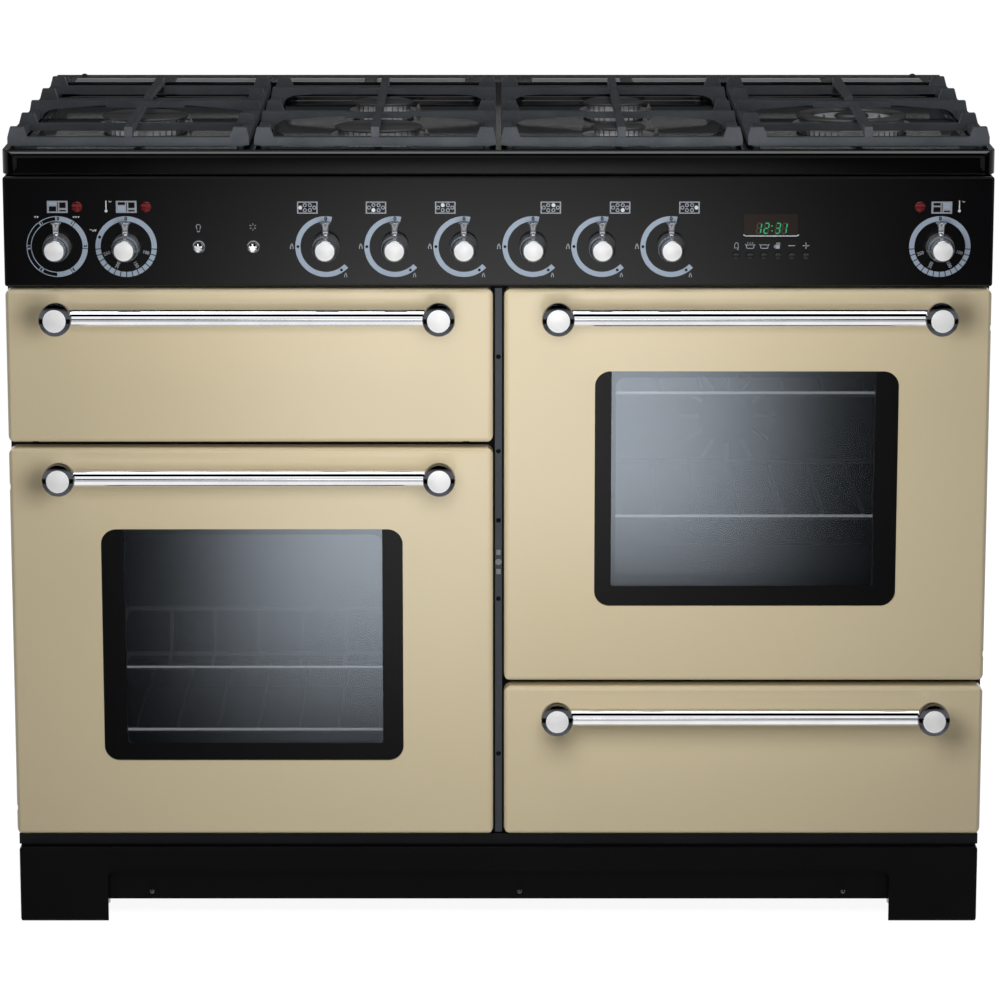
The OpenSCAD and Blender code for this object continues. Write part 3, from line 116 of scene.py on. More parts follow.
class Net:
    """The node tree of a material or of the world."""

    def __init__(self, name, world=None):
        self.material = world or bpy.data.materials.new(name)
        self.material.use_nodes = True
        self.tree = self.material.node_tree
        self.tree.nodes.clear()

    def put(self, socket, value):
        """Links a Value to a socket, or sets the socket to a plain number or colour."""
        if isinstance(value, Value):
            self.tree.links.new(value.socket, socket)
        else:
            socket.default_value = value

    def node(self, kind, settings=None, values=None, out=0):
        """Adds a node with these settings and inputs, and gives back one of its outputs."""
        made = self.tree.nodes.new(kind)
        for key, setting in (settings or {}).items():
            setattr(made, key, setting)
        for key, value in (values or {}).items():
            self.put(made.inputs[key], value)
        return Value(self, made.outputs[out] if len(made.outputs) else None)

    def noise(self, scale, detail, roughness=0.5):
        """Soft noise in the object's own metres."""
        there = self.node("ShaderNodeTexCoord", out=OBJECT_PLACE)
        return self.node("ShaderNodeTexNoise", {}, {
            "Vector": there, "Scale": scale, "Detail": detail, "Roughness": roughness})

    def split(self, vector):
        """The three parts of a vector."""
        made = self.tree.nodes.new("ShaderNodeSeparateXYZ")
        self.put(made.inputs[0], vector)
        return [Value(self, made.outputs[i]) for i in range(3)]

    def rays(self, *kinds):
        """1 for rays of these kinds, as light paths name them."""
        path = self.tree.nodes.new("ShaderNodeLightPath")
        return sum((Value(self, path.outputs[kind]) for kind in kinds), 0.0).clamp()

    def mix(self, amount, first, second):
        """From the first colour to the second by amount."""
        return self.node("ShaderNodeMix", {"data_type": "RGBA"},
                         {0: amount, 6: first, 7: second}, out=2)

    def bump(self, height, distance, strength):
        """The normal over bumps of this height, distance being in metres."""
        return self.node("ShaderNodeBump", {}, {
            "Height": height, "Distance": distance, "Strength": strength})

    def glow(self, strength):
        """White light of this strength, as a shader."""
        return self.node("ShaderNodeEmission", {}, {"Color": WHITE, "Strength": strength})

    def finish(self, shader):
        """Makes the shader the surface and gives back the material."""
        self.node("ShaderNodeOutputMaterial", {}, {"Surface": shader})
        return self.material

    def surface(self, values):
        """The material of a Principled shader with these inputs."""
        return self.finish(self.node("ShaderNodeBsdfPrincipled", {}, values))


def colour(*levels):
    """A colour from display levels, 0 to 255, as linear light."""
    shares = [level / 255 for level in levels]
    return tuple(v / 12.92 if v <= 0.04045 else ((v + 0.055) / 1.055) ** 2.4
                 for v in shares) + (1.0,)


def paler(tone, by, plus=0.0):
    """The colour times by, plus a little, and no brighter than white."""
    return tuple(min(1.0, v * by + plus) for v in tone[:3]) + (1.0,)


def cream_enamel():
    """Thick glossy enamel with a faint orange peel."""
    net = Net("cream_enamel")
    peel = net.noise(260.0, 2.0)
    fleck = net.noise(1400.0, 1.0)
    return net.surface({
        "Base Color": net.mix(fleck, colour(218, 203, 169), colour(216, 201, 167)),
        "Roughness": 0.28 + peel * 0.04, "Normal": net.bump(peel, 0.00005, 0.2),
        "Coat Weight": 0.5, "Coat Roughness": 0.06, "Specular IOR Level": 0.3})


def black_enamel(name, dark, light, roughness=0.06, level=0.5):
    """Black enamel, glossy as on the hob."""
    net = Net(name)
    peel = net.noise(180.0, 2.0)
    haze = net.noise(9.0, 4.0)
    return net.surface({
        "Base Color": net.mix(haze.between(0.35, 0.7), dark, light),
        "Roughness": roughness + haze * 0.05, "Normal": net.bump(peel, 0.00003, 0.2),
        "Specular IOR Level": level})


def fascia_black():
    """Black paint under a faintly frosted lacquer."""
    net = Net("fascia_black")
    haze = net.noise(5.0, 3.0)
    fine = net.noise(420.0, 1.0)
    return net.surface({
        "Base Color": net.mix(haze.between(0.3, 0.75), colour(3, 3, 5), colour(5, 5, 7)),
        "Roughness": 0.11 + haze * 0.03, "Normal": net.bump(fine, 0.00003, 0.1),
        "Specular IOR Level": 0.24})


def satin(name, dark, light, roughness, grain=300.0, level=0.5):
    """Powder coat and other satin paint."""
    net = Net(name)
    cloud = net.noise(11.0, 4.0)
    fine = net.noise(grain, 3.0)
    return net.surface({
        "Base Color": net.mix(cloud.between(0.3, 0.7), dark, light), "Specular IOR Level": level,
        "Roughness": roughness + cloud * 0.08, "Normal": net.bump(fine, 0.0001, 0.5)})


def cast_iron(name, dark, light, level):
    """Grey enamelled casting with a fine sandy skin."""
    net = Net(name)
    cloud = net.noise(24.0, 4.0)
    sand = net.noise(1100.0, 3.0, 0.6)
    lumps = net.noise(160.0, 2.0)
    speck = sand.between(0.52, 0.66)
    tone = net.mix(cloud.between(0.3, 0.7), dark, light)
    return net.surface({
        "Base Color": net.mix(speck * 0.5, tone, colour(112, 116, 122)),
        "Roughness": 0.5 + sand * 0.15, "Normal": net.bump(sand + lumps * 0.8, 0.00025, 0.5),
        "Specular IOR Level": level})


def metal(name, tone, roughness, spread=0.06, scale=30.0, share=1.0):
    """Bare or plated metal; share is how much of it mirrors."""
    net = Net(name)
    cloud = net.noise(scale, 3.0)
    fine = net.noise(scale * 9, 2.0)
    return net.surface({
        "Base Color": net.mix(cloud.between(0.3, 0.7), tone, paler(tone, 1.08)), "Metallic": share,
        "Roughness": roughness + cloud * spread, "Normal": net.bump(fine, 0.00002, 0.4)})


def window_glass():
    """Mirror-tinted pane, mostly see-through."""
    net = Net("window_glass")
    haze = net.noise(3.0, 2.0)
    return net.surface({
        "Base Color": net.mix(haze.between(0.3, 0.7), colour(114, 120, 127),
                              colour(117, 123, 130)),
        "Metallic": 1.0, "Roughness": 0.06 + haze * 0.03, "Alpha": 0.32})


def plastic(name, tone, roughness, level=0.5):
    """Plastic, ceramic and printing ink."""
    net = Net(name)
    fine = net.noise(500.0, 2.0)
    return net.surface({
        "Base Color": net.mix(fine, tone, paler(tone, 1.2, 0.002)),
        "Roughness": roughness + fine * 0.08, "Normal": net.bump(fine, 0.00005, 0.3),
        "Specular IOR Level": level})


def lit_mark(name, tone, glow, strength):
    """A lit figure of the clock, or a wire whose weak glow stands for the lamps' glint."""
    net = Net(name)
    fine = net.noise(900.0, 2.0)
    return net.surface({
        "Base Color": tone, "Roughness": 0.4, "Emission Color": net.mix(fine, tone, glow),
        "Emission Strength": strength})


SLOTS = {
    "cream_enamel": cream_enamel(),
    "black_enamel": black_enamel("black_enamel", colour(4, 4, 5), colour(7, 7, 8)),
    "black_gloss": fascia_black(),
    "charcoal_paint": satin("charcoal_paint", colour(20, 21, 23), colour(26, 27, 30), 0.42,
                            level=0.2),
    "oven_enamel": satin("oven_enamel", colour(16, 17, 19), colour(24, 26, 28), 0.3, 500.0, 0.3),
    "cast_iron": cast_iron("cast_iron", colour(72, 76, 81), colour(88, 92, 97), 0.4),
    "chrome": metal("chrome", colour(232, 233, 236), 0.05, 0.03),
    "aluminium": metal("aluminium", colour(205, 206, 208), 0.28, 0.1),
    "zinc_steel": metal("zinc_steel", colour(168, 171, 174), 0.38, 0.12, 18.0),
    "element_steel": metal("element_steel", colour(92, 90, 88), 0.5, 0.12),
    "door_glass": window_glass(),
    "clock_glass": plastic("clock_glass", colour(30, 21, 16), 0.06, 0.2),
    "brass": metal("brass", colour(196, 164, 98), 0.3),
    "module_plastic": plastic("module_plastic", colour(26, 26, 27), 0.5),
    "button_plastic": plastic("button_plastic", colour(16, 16, 17), 0.18),
    "neon_red": plastic("neon_red", colour(96, 3, 5), 0.08, 0.35),
    "ceramic": plastic("ceramic", colour(104, 101, 96), 0.3),
    "seal_black": satin("seal_black", colour(20, 20, 20), colour(28, 28, 28), 0.7),
}

# Nodes whose finish differs from their slot's
SPECIAL = {
    "plinth": black_enamel("plinth_black", colour(5, 5, 7), colour(8, 8, 10), 0.35, 0.1),
    "burner_caps": satin("cap_enamel", colour(42, 42, 44), colour(50, 51, 53), 0.35, level=0.4),
    "oven_racks": satin("rack_steel", colour(104, 107, 110), colour(118, 121, 124), 0.3),
    # The door rack's wires glow faintly all over, standing for the light that falls on them:
    # painted light
    "left_door_rack": lit_mark("fence_wire_painted_glow", colour(96, 98, 101), colour(112, 114, 117), 0.2),
}

# Pieces, trim and parts of pieces
KNOBS = metal("knob_chrome", colour(176, 178, 182), 0.1, 0.04, share=0.8)
# A darker copy of the cast iron for the pan supports' upward faces, standing for the dull ceiling
# they mirror: painted shade
IRON_TOP_PAINTED_DARK = cast_iron("cast_iron_top_painted_dark", colour(30, 31, 34), colour(38, 40, 43), 0.2)
# The hob's enamel with its reflection turned down, for the hob's front face and ends, kept dark
# where the same enamel would mirror the room: painted shade
HOB_FACE_PAINTED_DARK = black_enamel("hob_face_painted_dark", colour(4, 4, 5), colour(7, 7, 8), 0.08, 0.12)
# A lighter copy of the frame's charcoal paint for the strip between the doors, where light reaches
# it: painted light
MULLION_PAINTED_LIGHT = satin("mullion_painted_light", colour(68, 72, 78), colour(74, 78, 84), 0.4, level=0.2)
# A weak glow on the racks' front wires, standing for the lamps' glint on them: painted highlight
PAINTED_GLINT = lit_mark("rack_painted_glint", colour(216, 222, 226), colour(226, 232, 236), 0.85)
# Pale grey for the strips at the vent slots' rear edges, which stand for the highlights on those
# edges: painted highlight
SLOT_EDGE_HIGHLIGHT = plastic("slot_edge_painted_highlight", colour(176, 179, 182), 0.25)
# A darker copy of the chrome, standing for the dark surroundings that the handles' end rims
# mirror: painted shade; the plinth's screws are given it too
CHROME_PAINTED_DARK = metal("chrome_painted_dark", colour(80, 82, 87), 0.08, 0.04)
CAP_FACE = metal("turned_face", colour(249, 249, 250), 0.5, 0.05, 60.0, share=0.5)

# Prints
PALE_MARK = plastic("pale_print", colour(150, 163, 178), 0.5)
GREY_MARK = plastic("grey_print", colour(146, 150, 158), 0.5)
WHITE_MARK = plastic("white_print", colour(205, 208, 212), 0.5)
DARK_MARK = plastic("dark_print", colour(4, 4, 7), 0.4, 0.1)
BORDER_MARK = plastic("border_print", colour(5, 5, 7), 0.1, 0.14)
CLOCK_GREEN = lit_mark("clock_green", colour(24, 132, 84), colour(56, 168, 116), 0.6)
CLOCK_FAINT = plastic("clock_faint", colour(58, 50, 38), 0.4)

NODE_SLOT = {s["node"]: s["material_slot"] for s in frame["record"]["subparts"]}


def finish_of(node):
    """The material of a CAD node."""
    return SPECIAL.get(node, SLOTS[NODE_SLOT[node]])


for name, node in frame["nodes"].items():
    node.data.materials.clear()
    node.data.materials.append(finish_of(name))


# Mesh helpers; lengths in millimetres

def shade(mesh, degrees):
    """Shades the mesh round, but for edges that bend more."""
    mesh.shade_smooth()
    mesh.set_sharp_from_angle(angle=math.radians(degrees))


def new_object(name, bm, finish, body="carcass", smooth=0):
    """A piece from a bmesh, riding on body; with smooth, edges that bend less are shaded round."""
    mesh = bpy.data.meshes.new(name)
    bm.to_mesh(mesh)
    bm.free()
    piece = bpy.data.objects.new(name, mesh)
    bpy.context.collection.objects.link(piece)
    mesh.materials.append(finish)
    if smooth:
        shade(mesh, smooth)
    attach(piece, body)
    return piece


def body_of(node):
    """The body that a CAD node belongs to."""
    return next(b for b, names in frame["record"]["behaviour"]["bodies"].items() if node in names)


def stand_in(node):
    """The piece takes the node's place."""
    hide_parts(node)


def add_modifier(piece, kind, **settings):
    """Adds a modifier and applies it."""
    modifier = piece.modifiers.new(kind.lower(), kind)
    for key, setting in settings.items():
        setattr(modifier, key, setting)
    with bpy.context.temp_override(object=piece, active_object=piece):
        bpy.ops.object.modifier_apply(modifier=modifier.name)


def eased(node, width, finish=None, segments=2, accent=None, accented=None):
    """The node's own shape, standing in for it, its sharp edges rounded by width or left at 0.

    The faces that accented picks, by middle in millimetres and normal, take the accent finish.
    """
    bm = bmesh.new()
    bm.from_mesh(frame["nodes"][node].data)
    bmesh.ops.remove_doubles(bm, verts=bm.verts, dist=0.01 * MM)
    bmesh.ops.dissolve_limit(bm, angle_limit=math.radians(FLAT), verts=bm.verts, edges=bm.edges)
    if accent:
        for face in bm.faces:
            face.material_index = int(accented(face.calc_center_median() / MM, face.normal))
    piece = new_object(node + "_eased", bm, finish or finish_of(node), body_of(node))
    if accent:
        piece.data.materials.append(accent)
    if width:
        add_modifier(piece, "BEVEL", width=width * MM, segments=segments, limit_method="ANGLE",
                     angle_limit=math.radians(SHARP), use_clamp_overlap=True,
                     harden_normals=False)
    shade(piece.data, EASED_SMOOTH)
    if width:
        add_modifier(piece, "WEIGHTED_NORMAL", keep_sharp=True)
    stand_in(node)


def add_prism(bm, outline, front, back):
    """A flat shape in X and Z from the plane y = front to y = back."""
    rings = [[bm.verts.new((x * MM, y * MM, z * MM)) for x, z in outline] for y in (front, back)]
    bm.faces.new(rings[0])
    bm.faces.new(rings[1][::-1])
    count = len(outline)
    for i in range(count):
        k = (i + 1) % count
        bm.faces.new((rings[0][k], rings[0][i], rings[1][i], rings[1][k]))


def flat_marks(name, outlines, finish, proud=PROUD, face=FRONT, body="carcass"):
    """Printed marks on an upright face: thin plates that stand proud of it."""
    bm = bmesh.new()
    for outline in outlines:
        add_prism(bm, outline, face - proud, face + SUNK)
    bmesh.ops.recalc_face_normals(bm, faces=bm.faces)
    new_object(name, bm, finish, body)


def arc(x, z, radius, start, end, step=5):
    """Points round (x, z); the angles run clockwise from the top, in degrees."""
    count = max(2, round(abs(end - start) / step) + 1)
    turns = [math.radians(start + (end - start) * i / (count - 1)) for i in range(count)]
    return [(x + radius * math.sin(t), z + radius * math.cos(t)) for t in turns]


def band(x, z, inner, outer, start, end):
    """A part of a ring, clockwise from start to end."""
    return arc(x, z, outer, start, end) + arc(x, z, inner, end, start)


def ring(x, z, inner, outer):
    """A whole ring, as two halves."""
    return [band(x, z, inner, outer, 0, 180), band(x, z, inner, outer, 180, 360)]


def dot(x, z, radius):
    """A filled circle."""
    return arc(x, z, radius, 0, 330, 30)


def bar(x0, z0, x1, z1):
    """An upright rectangle from corner to corner."""
    return [(x0, z0), (x1, z0), (x1, z1), (x0, z1)]


def line(a, b, width):
    """A straight stroke from a to b."""
    run = Vector((b[0] - a[0], b[1] - a[1]))
    side = Vector((-run.y, run.x)).normalized() * width / 2
    return [(a[0] + side.x, a[1] + side.y), (a[0] - side.x, a[1] - side.y),
            (b[0] - side.x, b[1] - side.y), (b[0] + side.x, b[1] + side.y)]


def path(points, width):
    """Strokes from point to point."""
    return [line(a, b, width) for a, b in zip(points, points[1:])]


def moved(outlines, x, z, turn=0.0):
    """The outlines turned clockwise and then moved."""
    c, s = math.cos(math.radians(turn)), math.sin(math.radians(turn))
    return [[(x + px * c + pz * s, z - px * s + pz * c) for px, pz in outline]
            for outline in outlines]


FONT_SIZE = 1.37            # a font's size over the height of its figures
THIN, BOLD = 0.1, 0.28      # how far a figure's strokes swell


def figures(name, entries, finish, proud=PROUD, swell=THIN):
    """Plain numbers on the fascia, each (text, x, z, height, turn), turned about its middle."""
    bm = bmesh.new()
    for text, x, z, height, turn in entries:
        curve = bpy.data.curves.new("figure", "FONT")
        curve.body = text
        curve.align_x = "CENTER"
        curve.align_y = "CENTER"
        curve.size = height * FONT_SIZE * MM
        curve.resolution_u = 3
        curve.offset = swell * MM
        curve.extrude = (proud + SUNK) / 2 * MM
        glyph = bpy.data.objects.new("figure", curve)
        bpy.context.collection.objects.link(glyph)
        bpy.context.view_layer.update()
        shown = glyph.evaluated_get(bpy.context.evaluated_depsgraph_get())
        mesh = bpy.data.meshes.new_from_object(shown)
        mesh.transform(Matrix.Translation(Vector((x, FRONT - (proud - SUNK) / 2, z)) * MM)
                       @ Matrix.Rotation(math.radians(turn), 4, "Y")
                       @ Matrix.Rotation(math.radians(90), 4, "X"))
        bm.from_mesh(mesh)
        bpy.data.objects.remove(glyph)
        bpy.data.curves.remove(curve)
        bpy.data.meshes.remove(mesh)
    new_object(name, bm, finish)


AXES = {"-Y": Matrix.Rotation(math.radians(90), 4, "X"),
        "X": Matrix.Rotation(math.radians(90), 4, "Y"), "Z": Matrix.Identity(4)}


def add_turned(bm, profile, place, axis, segments, finishes=None):
    """A form turned from (radius, distance) points about an axis through place.

    finishes gives the material index of each step of the profile.
    """
    loops = []
    stand = Matrix.Translation(Vector(place) * MM) @ AXES[axis]
    for radius, along in profile:
        turns = [2 * math.pi * i / segments for i in range(segments if radius > 0.001 else 1)]
        points = [Vector((radius * math.cos(t), radius * math.sin(t), along)) for t in turns]
        loops.append([bm.verts.new(stand @ (point * MM)) for point in points])
    for step, (a, b) in enumerate(zip(loops, loops[1:])):
        for i in range(segments):
            k = (i + 1) % segments
            quad = [a[i % len(a)], a[k % len(a)], b[k % len(b)], b[i % len(b)]]
            face = bm.faces.new(list(dict.fromkeys(quad)))
            face.material_index = finishes[step] if finishes else 0


def turned(name, profile, finish, place, axis="-Y", segments=40):
    """A turned piece on the carcass."""
    bm = bmesh.new()
    add_turned(bm, profile, place, axis, segments)
    bmesh.ops.recalc_face_normals(bm, faces=bm.faces)
    new_object(name, bm, finish, smooth=TURNED_SMOOTH)


# Marks on the fascia

KNOB_Z = 776.1              # the middle of the knobs and of the two push buttons
HOB_X = (-190, -114, -38, 38, 114, 190)
GRILL_X, LEFT_OVEN_X, RIGHT_OVEN_X = -486, -410, 486
LIGHT_X, IGNITION_X = -330, -270
HOB_MAP_X = (-210.2, -134.7, -58.5, 57.5, 133.7, 209.9)
MAP_Z = 819.4               # the middle of the plans over the knobs

# A dial's band; all turns are in degrees, clockwise from its top
DIAL_OUT, DIAL_IN = 33.8, 28.1
DIAL_MID = (DIAL_OUT + DIAL_IN) / 2
HOB_BAND = (134, 372)
LARGE_FLAME, SMALL_FLAME = 270, 147
OVEN_TICKS, FIRST_TICK, TICK_STEP = 15, 95, 12.15
OVEN_NUMBERS = (("100", 107), ("150", 152), ("200", 205), ("250", 250))
OVEN_NUMBER_RADIUS = 22.6
GRILL_BANDS = ((-3, 36), (37.4, 93.5), (95, 149.5), (151, 181))
HALF_GRILL_BAND = (181, 357)
HALF_GRILL_TICKS = (212, 266, 324)
GRILL_NUMBERS = (("1", 32), ("2", 89), ("3", 145))
HALF_GRILL_NUMBERS = (("1", 329), ("2", 272), ("3", 218))
EDGE = 0.9                  # how wide the half grill's open band is drawn
FLAME = path([(-1.5, -3.2), (-1.5, -0.8), (0, 2.9), (1.5, -0.8), (1.5, -3.2)], 1.0)
SMALL = 0.8                 # the small flame's share of the large one


def on_dial(x, radius, turn):
    """The point at this radius and clockwise turn from the top of the dial at x."""
    a = math.radians(turn)
    return x + radius * math.sin(a), KNOB_Z + radius * math.cos(a)


def tick(x, turn, width):
    """A stroke across the band of the dial at x."""
    return moved([line((0, DIAL_IN), (0, DIAL_OUT), width)], x, KNOB_Z, turn)


def spot(x, turn, radius):
    """A dot on the band of the dial at x."""
    return moved([dot(0, DIAL_MID, radius)], x, KNOB_Z, turn)


def hob_dials():
    """Round each hob knob a band with a zero and two stops, and a large and a small flame."""
    bands, stops, flames = [], [], []
    for x in HOB_X:
        bands.append(band(x, KNOB_Z, DIAL_IN, DIAL_OUT, *HOB_BAND))
        stops += spot(x, LARGE_FLAME, 1.6) + spot(x, SMALL_FLAME, 1.6)
        flames += moved(FLAME, x - 37.6, KNOB_Z + 0.6)
        small = [[(px * SMALL, pz * SMALL) for px, pz in outline] for outline in FLAME]
        flames += moved(small, x + 21.5, KNOB_Z - 31.5)
    flat_marks("hob_dial_bands", bands, PALE_MARK)
    flat_marks("hob_dial_dots", stops, DARK_MARK, OVER)
    flat_marks("hob_dial_flames", flames, GREY_MARK)
    figures("hob_dial_zeros", [("0", x, KNOB_Z + DIAL_MID, 4.4, 0) for x in HOB_X],
            DARK_MARK, OVER, BOLD)


def oven_dial(side, x):
    """A whole ring with a zero and ticks, and the temperatures inside it."""
    ticks = []
    for i in range(OVEN_TICKS):
        ticks += tick(x, FIRST_TICK + TICK_STEP * i, 1.0)
    if side == "left":
        ticks += spot(x, 290, 1.7)
    flat_marks(side + "_oven_dial_band", ring(x, KNOB_Z, DIAL_IN, DIAL_OUT), PALE_MARK)
    flat_marks(side + "_oven_dial_ticks", ticks, DARK_MARK, OVER)
    figures(side + "_oven_dial_zero", [("0", x, KNOB_Z + DIAL_MID, 4.2, 0)],
            DARK_MARK, OVER, BOLD)
    figures(side + "_oven_dial_numbers",
            [(number, *on_dial(x, OVEN_NUMBER_RADIUS, turn), 3.7,
              turn - (90 if turn < 180 else 270)) for number, turn in OVEN_NUMBERS], GREY_MARK)


def grill_dial(x):
    """Solid bands clockwise for the whole grill and an open one the other way for half of it."""
    bands, signs = [], []
    for start, end in GRILL_BANDS:
        bands.append(band(x, KNOB_Z, DIAL_IN, DIAL_OUT, start, end))
    for inner, outer in ((DIAL_IN, DIAL_IN + EDGE), (DIAL_OUT - EDGE, DIAL_OUT)):
        bands.append(band(x, KNOB_Z, inner, outer, *HALF_GRILL_BAND))
    for turn in HALF_GRILL_TICKS:
        bands += tick(x, turn, 1.8)
    for middle, steps in ((-508.3, (-1.35, 1.35)), (-464.6, (-2.7, 0, 2.7))):
        for k in steps:
            signs.append([(middle + k - 1.2, 809.7), (middle + k, 807.7),
                          (middle + k + 1.2, 809.7)])
    signs += path([(-449.8, 795.4), (-448.6, 794.4), (-447.8, 795.2), (-446.2, 792.8),
                   (-444.8, 795.2), (-443.6, 792.9), (-442.8, 795.4)], 0.6)
    flat_marks("grill_dial_band", bands, PALE_MARK)
    flat_marks("grill_dial_signs", signs, WHITE_MARK)
    whole = [(number, *on_dial(x, DIAL_MID, turn), 3.4, turn) for number, turn in GRILL_NUMBERS]
    half = [(number, *on_dial(x, DIAL_MID, turn), 3.2, turn)
            for number, turn in HALF_GRILL_NUMBERS]
    figures("grill_dial_numbers", [("0", x + 1.5, KNOB_Z + DIAL_MID, 3.6, 0)] + whole,
            DARK_MARK, OVER, BOLD)
    figures("grill_dial_half_numbers", half, PALE_MARK)


def hob_map(x, own):
    """The small plan of the burners, the knob's own one filled."""
    light = [bar(-11.3, -6.7, 11.3, -5.5), bar(-11.3, 5.5, 11.3, 6.7),
             bar(-11.3, -5.5, -9.9, 5.5), bar(9.9, -5.5, 11.3, 5.5)]
    places = [(-7.7, 0), (-2.8, -2.8), (-2.8, 2.7), (2.9, 2.7), (2.9, -2.8), (7.7, 0)]
    bright = []
    for i, (px, pz) in enumerate(places):
        if i == own:
            bright.append(dot(px, pz, 2.2))
        else:
            light += ring(px, pz, 1.2, 2.2)
    return moved(light, x, MAP_Z), moved(bright, x, MAP_Z)


def oven_map(x, z, lit):
    """The small front view of the cooker, the knob's own compartment lit."""
    plate = [bar(-11.4, -6.7, 11.4, 6.7)]
    spaces = {"grill": bar(-9.2, 2.2, -1.3, 5.2), "left": bar(-9.2, -5.0, -1.3, 0.6),
              "right": bar(2.2, -1.2, 9.2, 5.0), "drawer": bar(2.2, -5.0, 9.2, -3.4)}
    dark = [bar(-0.1, -5.2, 0.7, 5.2)] + [s for key, s in spaces.items() if key != lit]
    return moved(plate, x, z), moved(dark, x, z), moved([spaces[lit]], x, z)


def fascia_signs():
    """The plans, thermometers, lamp and spark over the knobs and buttons."""
    light, bright, dark, lit = [], [], [], []
    for own, x in enumerate(HOB_MAP_X):
        lines, filled = hob_map(x, own)
        light += lines
        bright += filled
    for x, z, own in ((-485.0, 820.2, "grill"), (-409.2, 820.2, "left"), (487.3, MAP_Z, "right")):
        plate, spaces, own_space = oven_map(x, z, own)
        light += plate
        dark += spaces
        lit += own_space
    for x in (-431.5, 506.7):
        bright += [bar(x - 0.6, 817.0, x + 0.6, 827.2), dot(x, 815.8, 1.7)]
        bright += path([(x + 3.0, 826.8), (x + 4.6, 825.4), (x + 6.0, 826.2)], 0.6)
    bulb = path([(-1.5, -2.2), (-2.5, 0.6), (-1.4, 3.2), (1.4, 3.2), (2.5, 0.6), (1.5, -2.2)], 0.7)
    socket = path([(-1.4, -3.4), (-1.0, -4.8), (1.0, -4.8), (1.4, -3.4)], 0.7)
    light += moved(bulb + socket, -330.2, 797.4)
    for k in range(6):
        light += moved([line((0, 1.9), (0, 4.0), 0.7)], -270.3, 798.0, 60 * k)
    flat_marks("fascia_signs", light, GREY_MARK)
    flat_marks("fascia_signs_bright", bright, WHITE_MARK)
    flat_marks("oven_map_spaces", dark, DARK_MARK, OVER)
    flat_marks("oven_map_lit_spaces", lit, PALE_MARK, OVER)


def clock_signs():
    """The bell, two pans, hand, minus and plus over the clock's buttons."""
    z = 777.2
    signs = path([(259.9, 774.6), (260.2, 778.6), (260.9, 780.0), (262.1, 780.6), (263.3, 780.0),
                  (264.0, 778.6), (264.3, 774.6), (259.6, 774.6)], 0.7)
    signs.append(dot(263.6, 773.0, 0.7))
    for x in (277.1, 292.7):
        signs += path([(x - 5.4, z + 1.6), (x - 4.4, z + 0.4), (x - 3.6, z - 3.0),
                       (x + 3.6, z - 3.0), (x + 4.4, z + 0.4), (x + 5.4, z + 1.6)], 0.8)
        signs.append(bar(x - 4.6, z + 0.4, x + 4.6, z + 1.1))
    for k in (-2.6, 0, 2.6):
        signs += path([(277.1 + k - 0.6, z + 2.2), (277.1 + k + 0.4, z + 4.0)], 0.6)
    signs += [bar(305.0, z - 3.4, 309.8, z + 0.6), bar(305.4, z + 1.2, 310.2, z + 2.0),
              bar(306.0, z + 2.5, 310.2, z + 3.3), bar(303.6, z - 2.2, 304.6, z + 0.4)]
    signs += [bar(319.3, z - 0.5, 326.5, z + 0.4), bar(335.0, z - 0.5, 342.2, z + 0.4),
              bar(338.2, z - 3.6, 339.0, z + 3.5)]
    flat_marks("clock_signs", signs, GREY_MARK)
    flat_marks("clock_window_line",
               path([(269.6, 789.4), (271.6, 787.9), (328.6, 787.9), (330.6, 789.4)], 0.9),
               WHITE_MARK)


# The bars of a seven-part figure, 1 wide and 1 high, and the bars of each figure shown
BARS = {"a": ((0.1, 1), (0.9, 1)), "b": ((1, 0.95), (1, 0.55)), "c": ((1, 0.45), (1, 0.05)),
        "d": ((0.1, 0), (0.9, 0)), "e": ((0, 0.45), (0, 0.05)), "g": ((0.15, 0.5), (0.85, 0.5)),
        "f": ((0, 0.95), (0, 0.55))}
SHOWN_BARS = {"1": "bc", "2": "abged", "3": "abgcd"}
FIGURE_WIDE, FIGURE_HIGH, FIGURE_SLANT = 4.6, 11.2, 1.6
FIGURE_FOOT = 790.8


def clock_time():
    """The green figures on the clock's window, their unlit bars faint."""

    def slanted(point, x):
        return (x + point[0] * FIGURE_WIDE + point[1] * FIGURE_SLANT,
                FIGURE_FOOT + point[1] * FIGURE_HIGH)

    shown, faint = [], []
    for figure, x in (("1", 283.6), ("2", 291.8), ("3", 304.4), ("1", 311.6)):
        for key, (a, b) in BARS.items():
            target = shown if key in SHOWN_BARS[figure] else faint
            target.append(line(slanted(a, x), slanted(b, x), 1.3))
    for z in (793.6, 799.0):
        shown.append(dot(301.0, z, 0.8))
    flat_marks("clock_figures", shown, CLOCK_GREEN, PROUD, CLOCK_FACE)
    flat_marks("clock_faint_figures", faint, CLOCK_FAINT, FAINT_PROUD, CLOCK_FACE)


# Rounded edges and second finishes of the CAD's own shapes

UPWARD = 0.2                # a painted glint, a weak glow, goes on wire faces whose normal's z is over this
SHELF_WIRES = 14            # and which lie this near the racks' front
FENCE_WIRES, FENCE_LOW = 18, 34         # or this near the door rack's front and foot
MULLION_HALF = 4.5          # the strip between the doors reaches 4 either way
CAP_DEPTH = 0.3             # how deep a knob's pale face lies behind its foremost point

# The pan supports' upward faces take the darker copy of the iron: painted shade
for node in ("side_pan_supports", "centre_pan_supports"):
    eased(node, 1.6, accent=IRON_TOP_PAINTED_DARK, accented=lambda middle, normal: normal.z > 0.9)
eased("plinth", 1.2)
eased("burner_caps", 0.9)
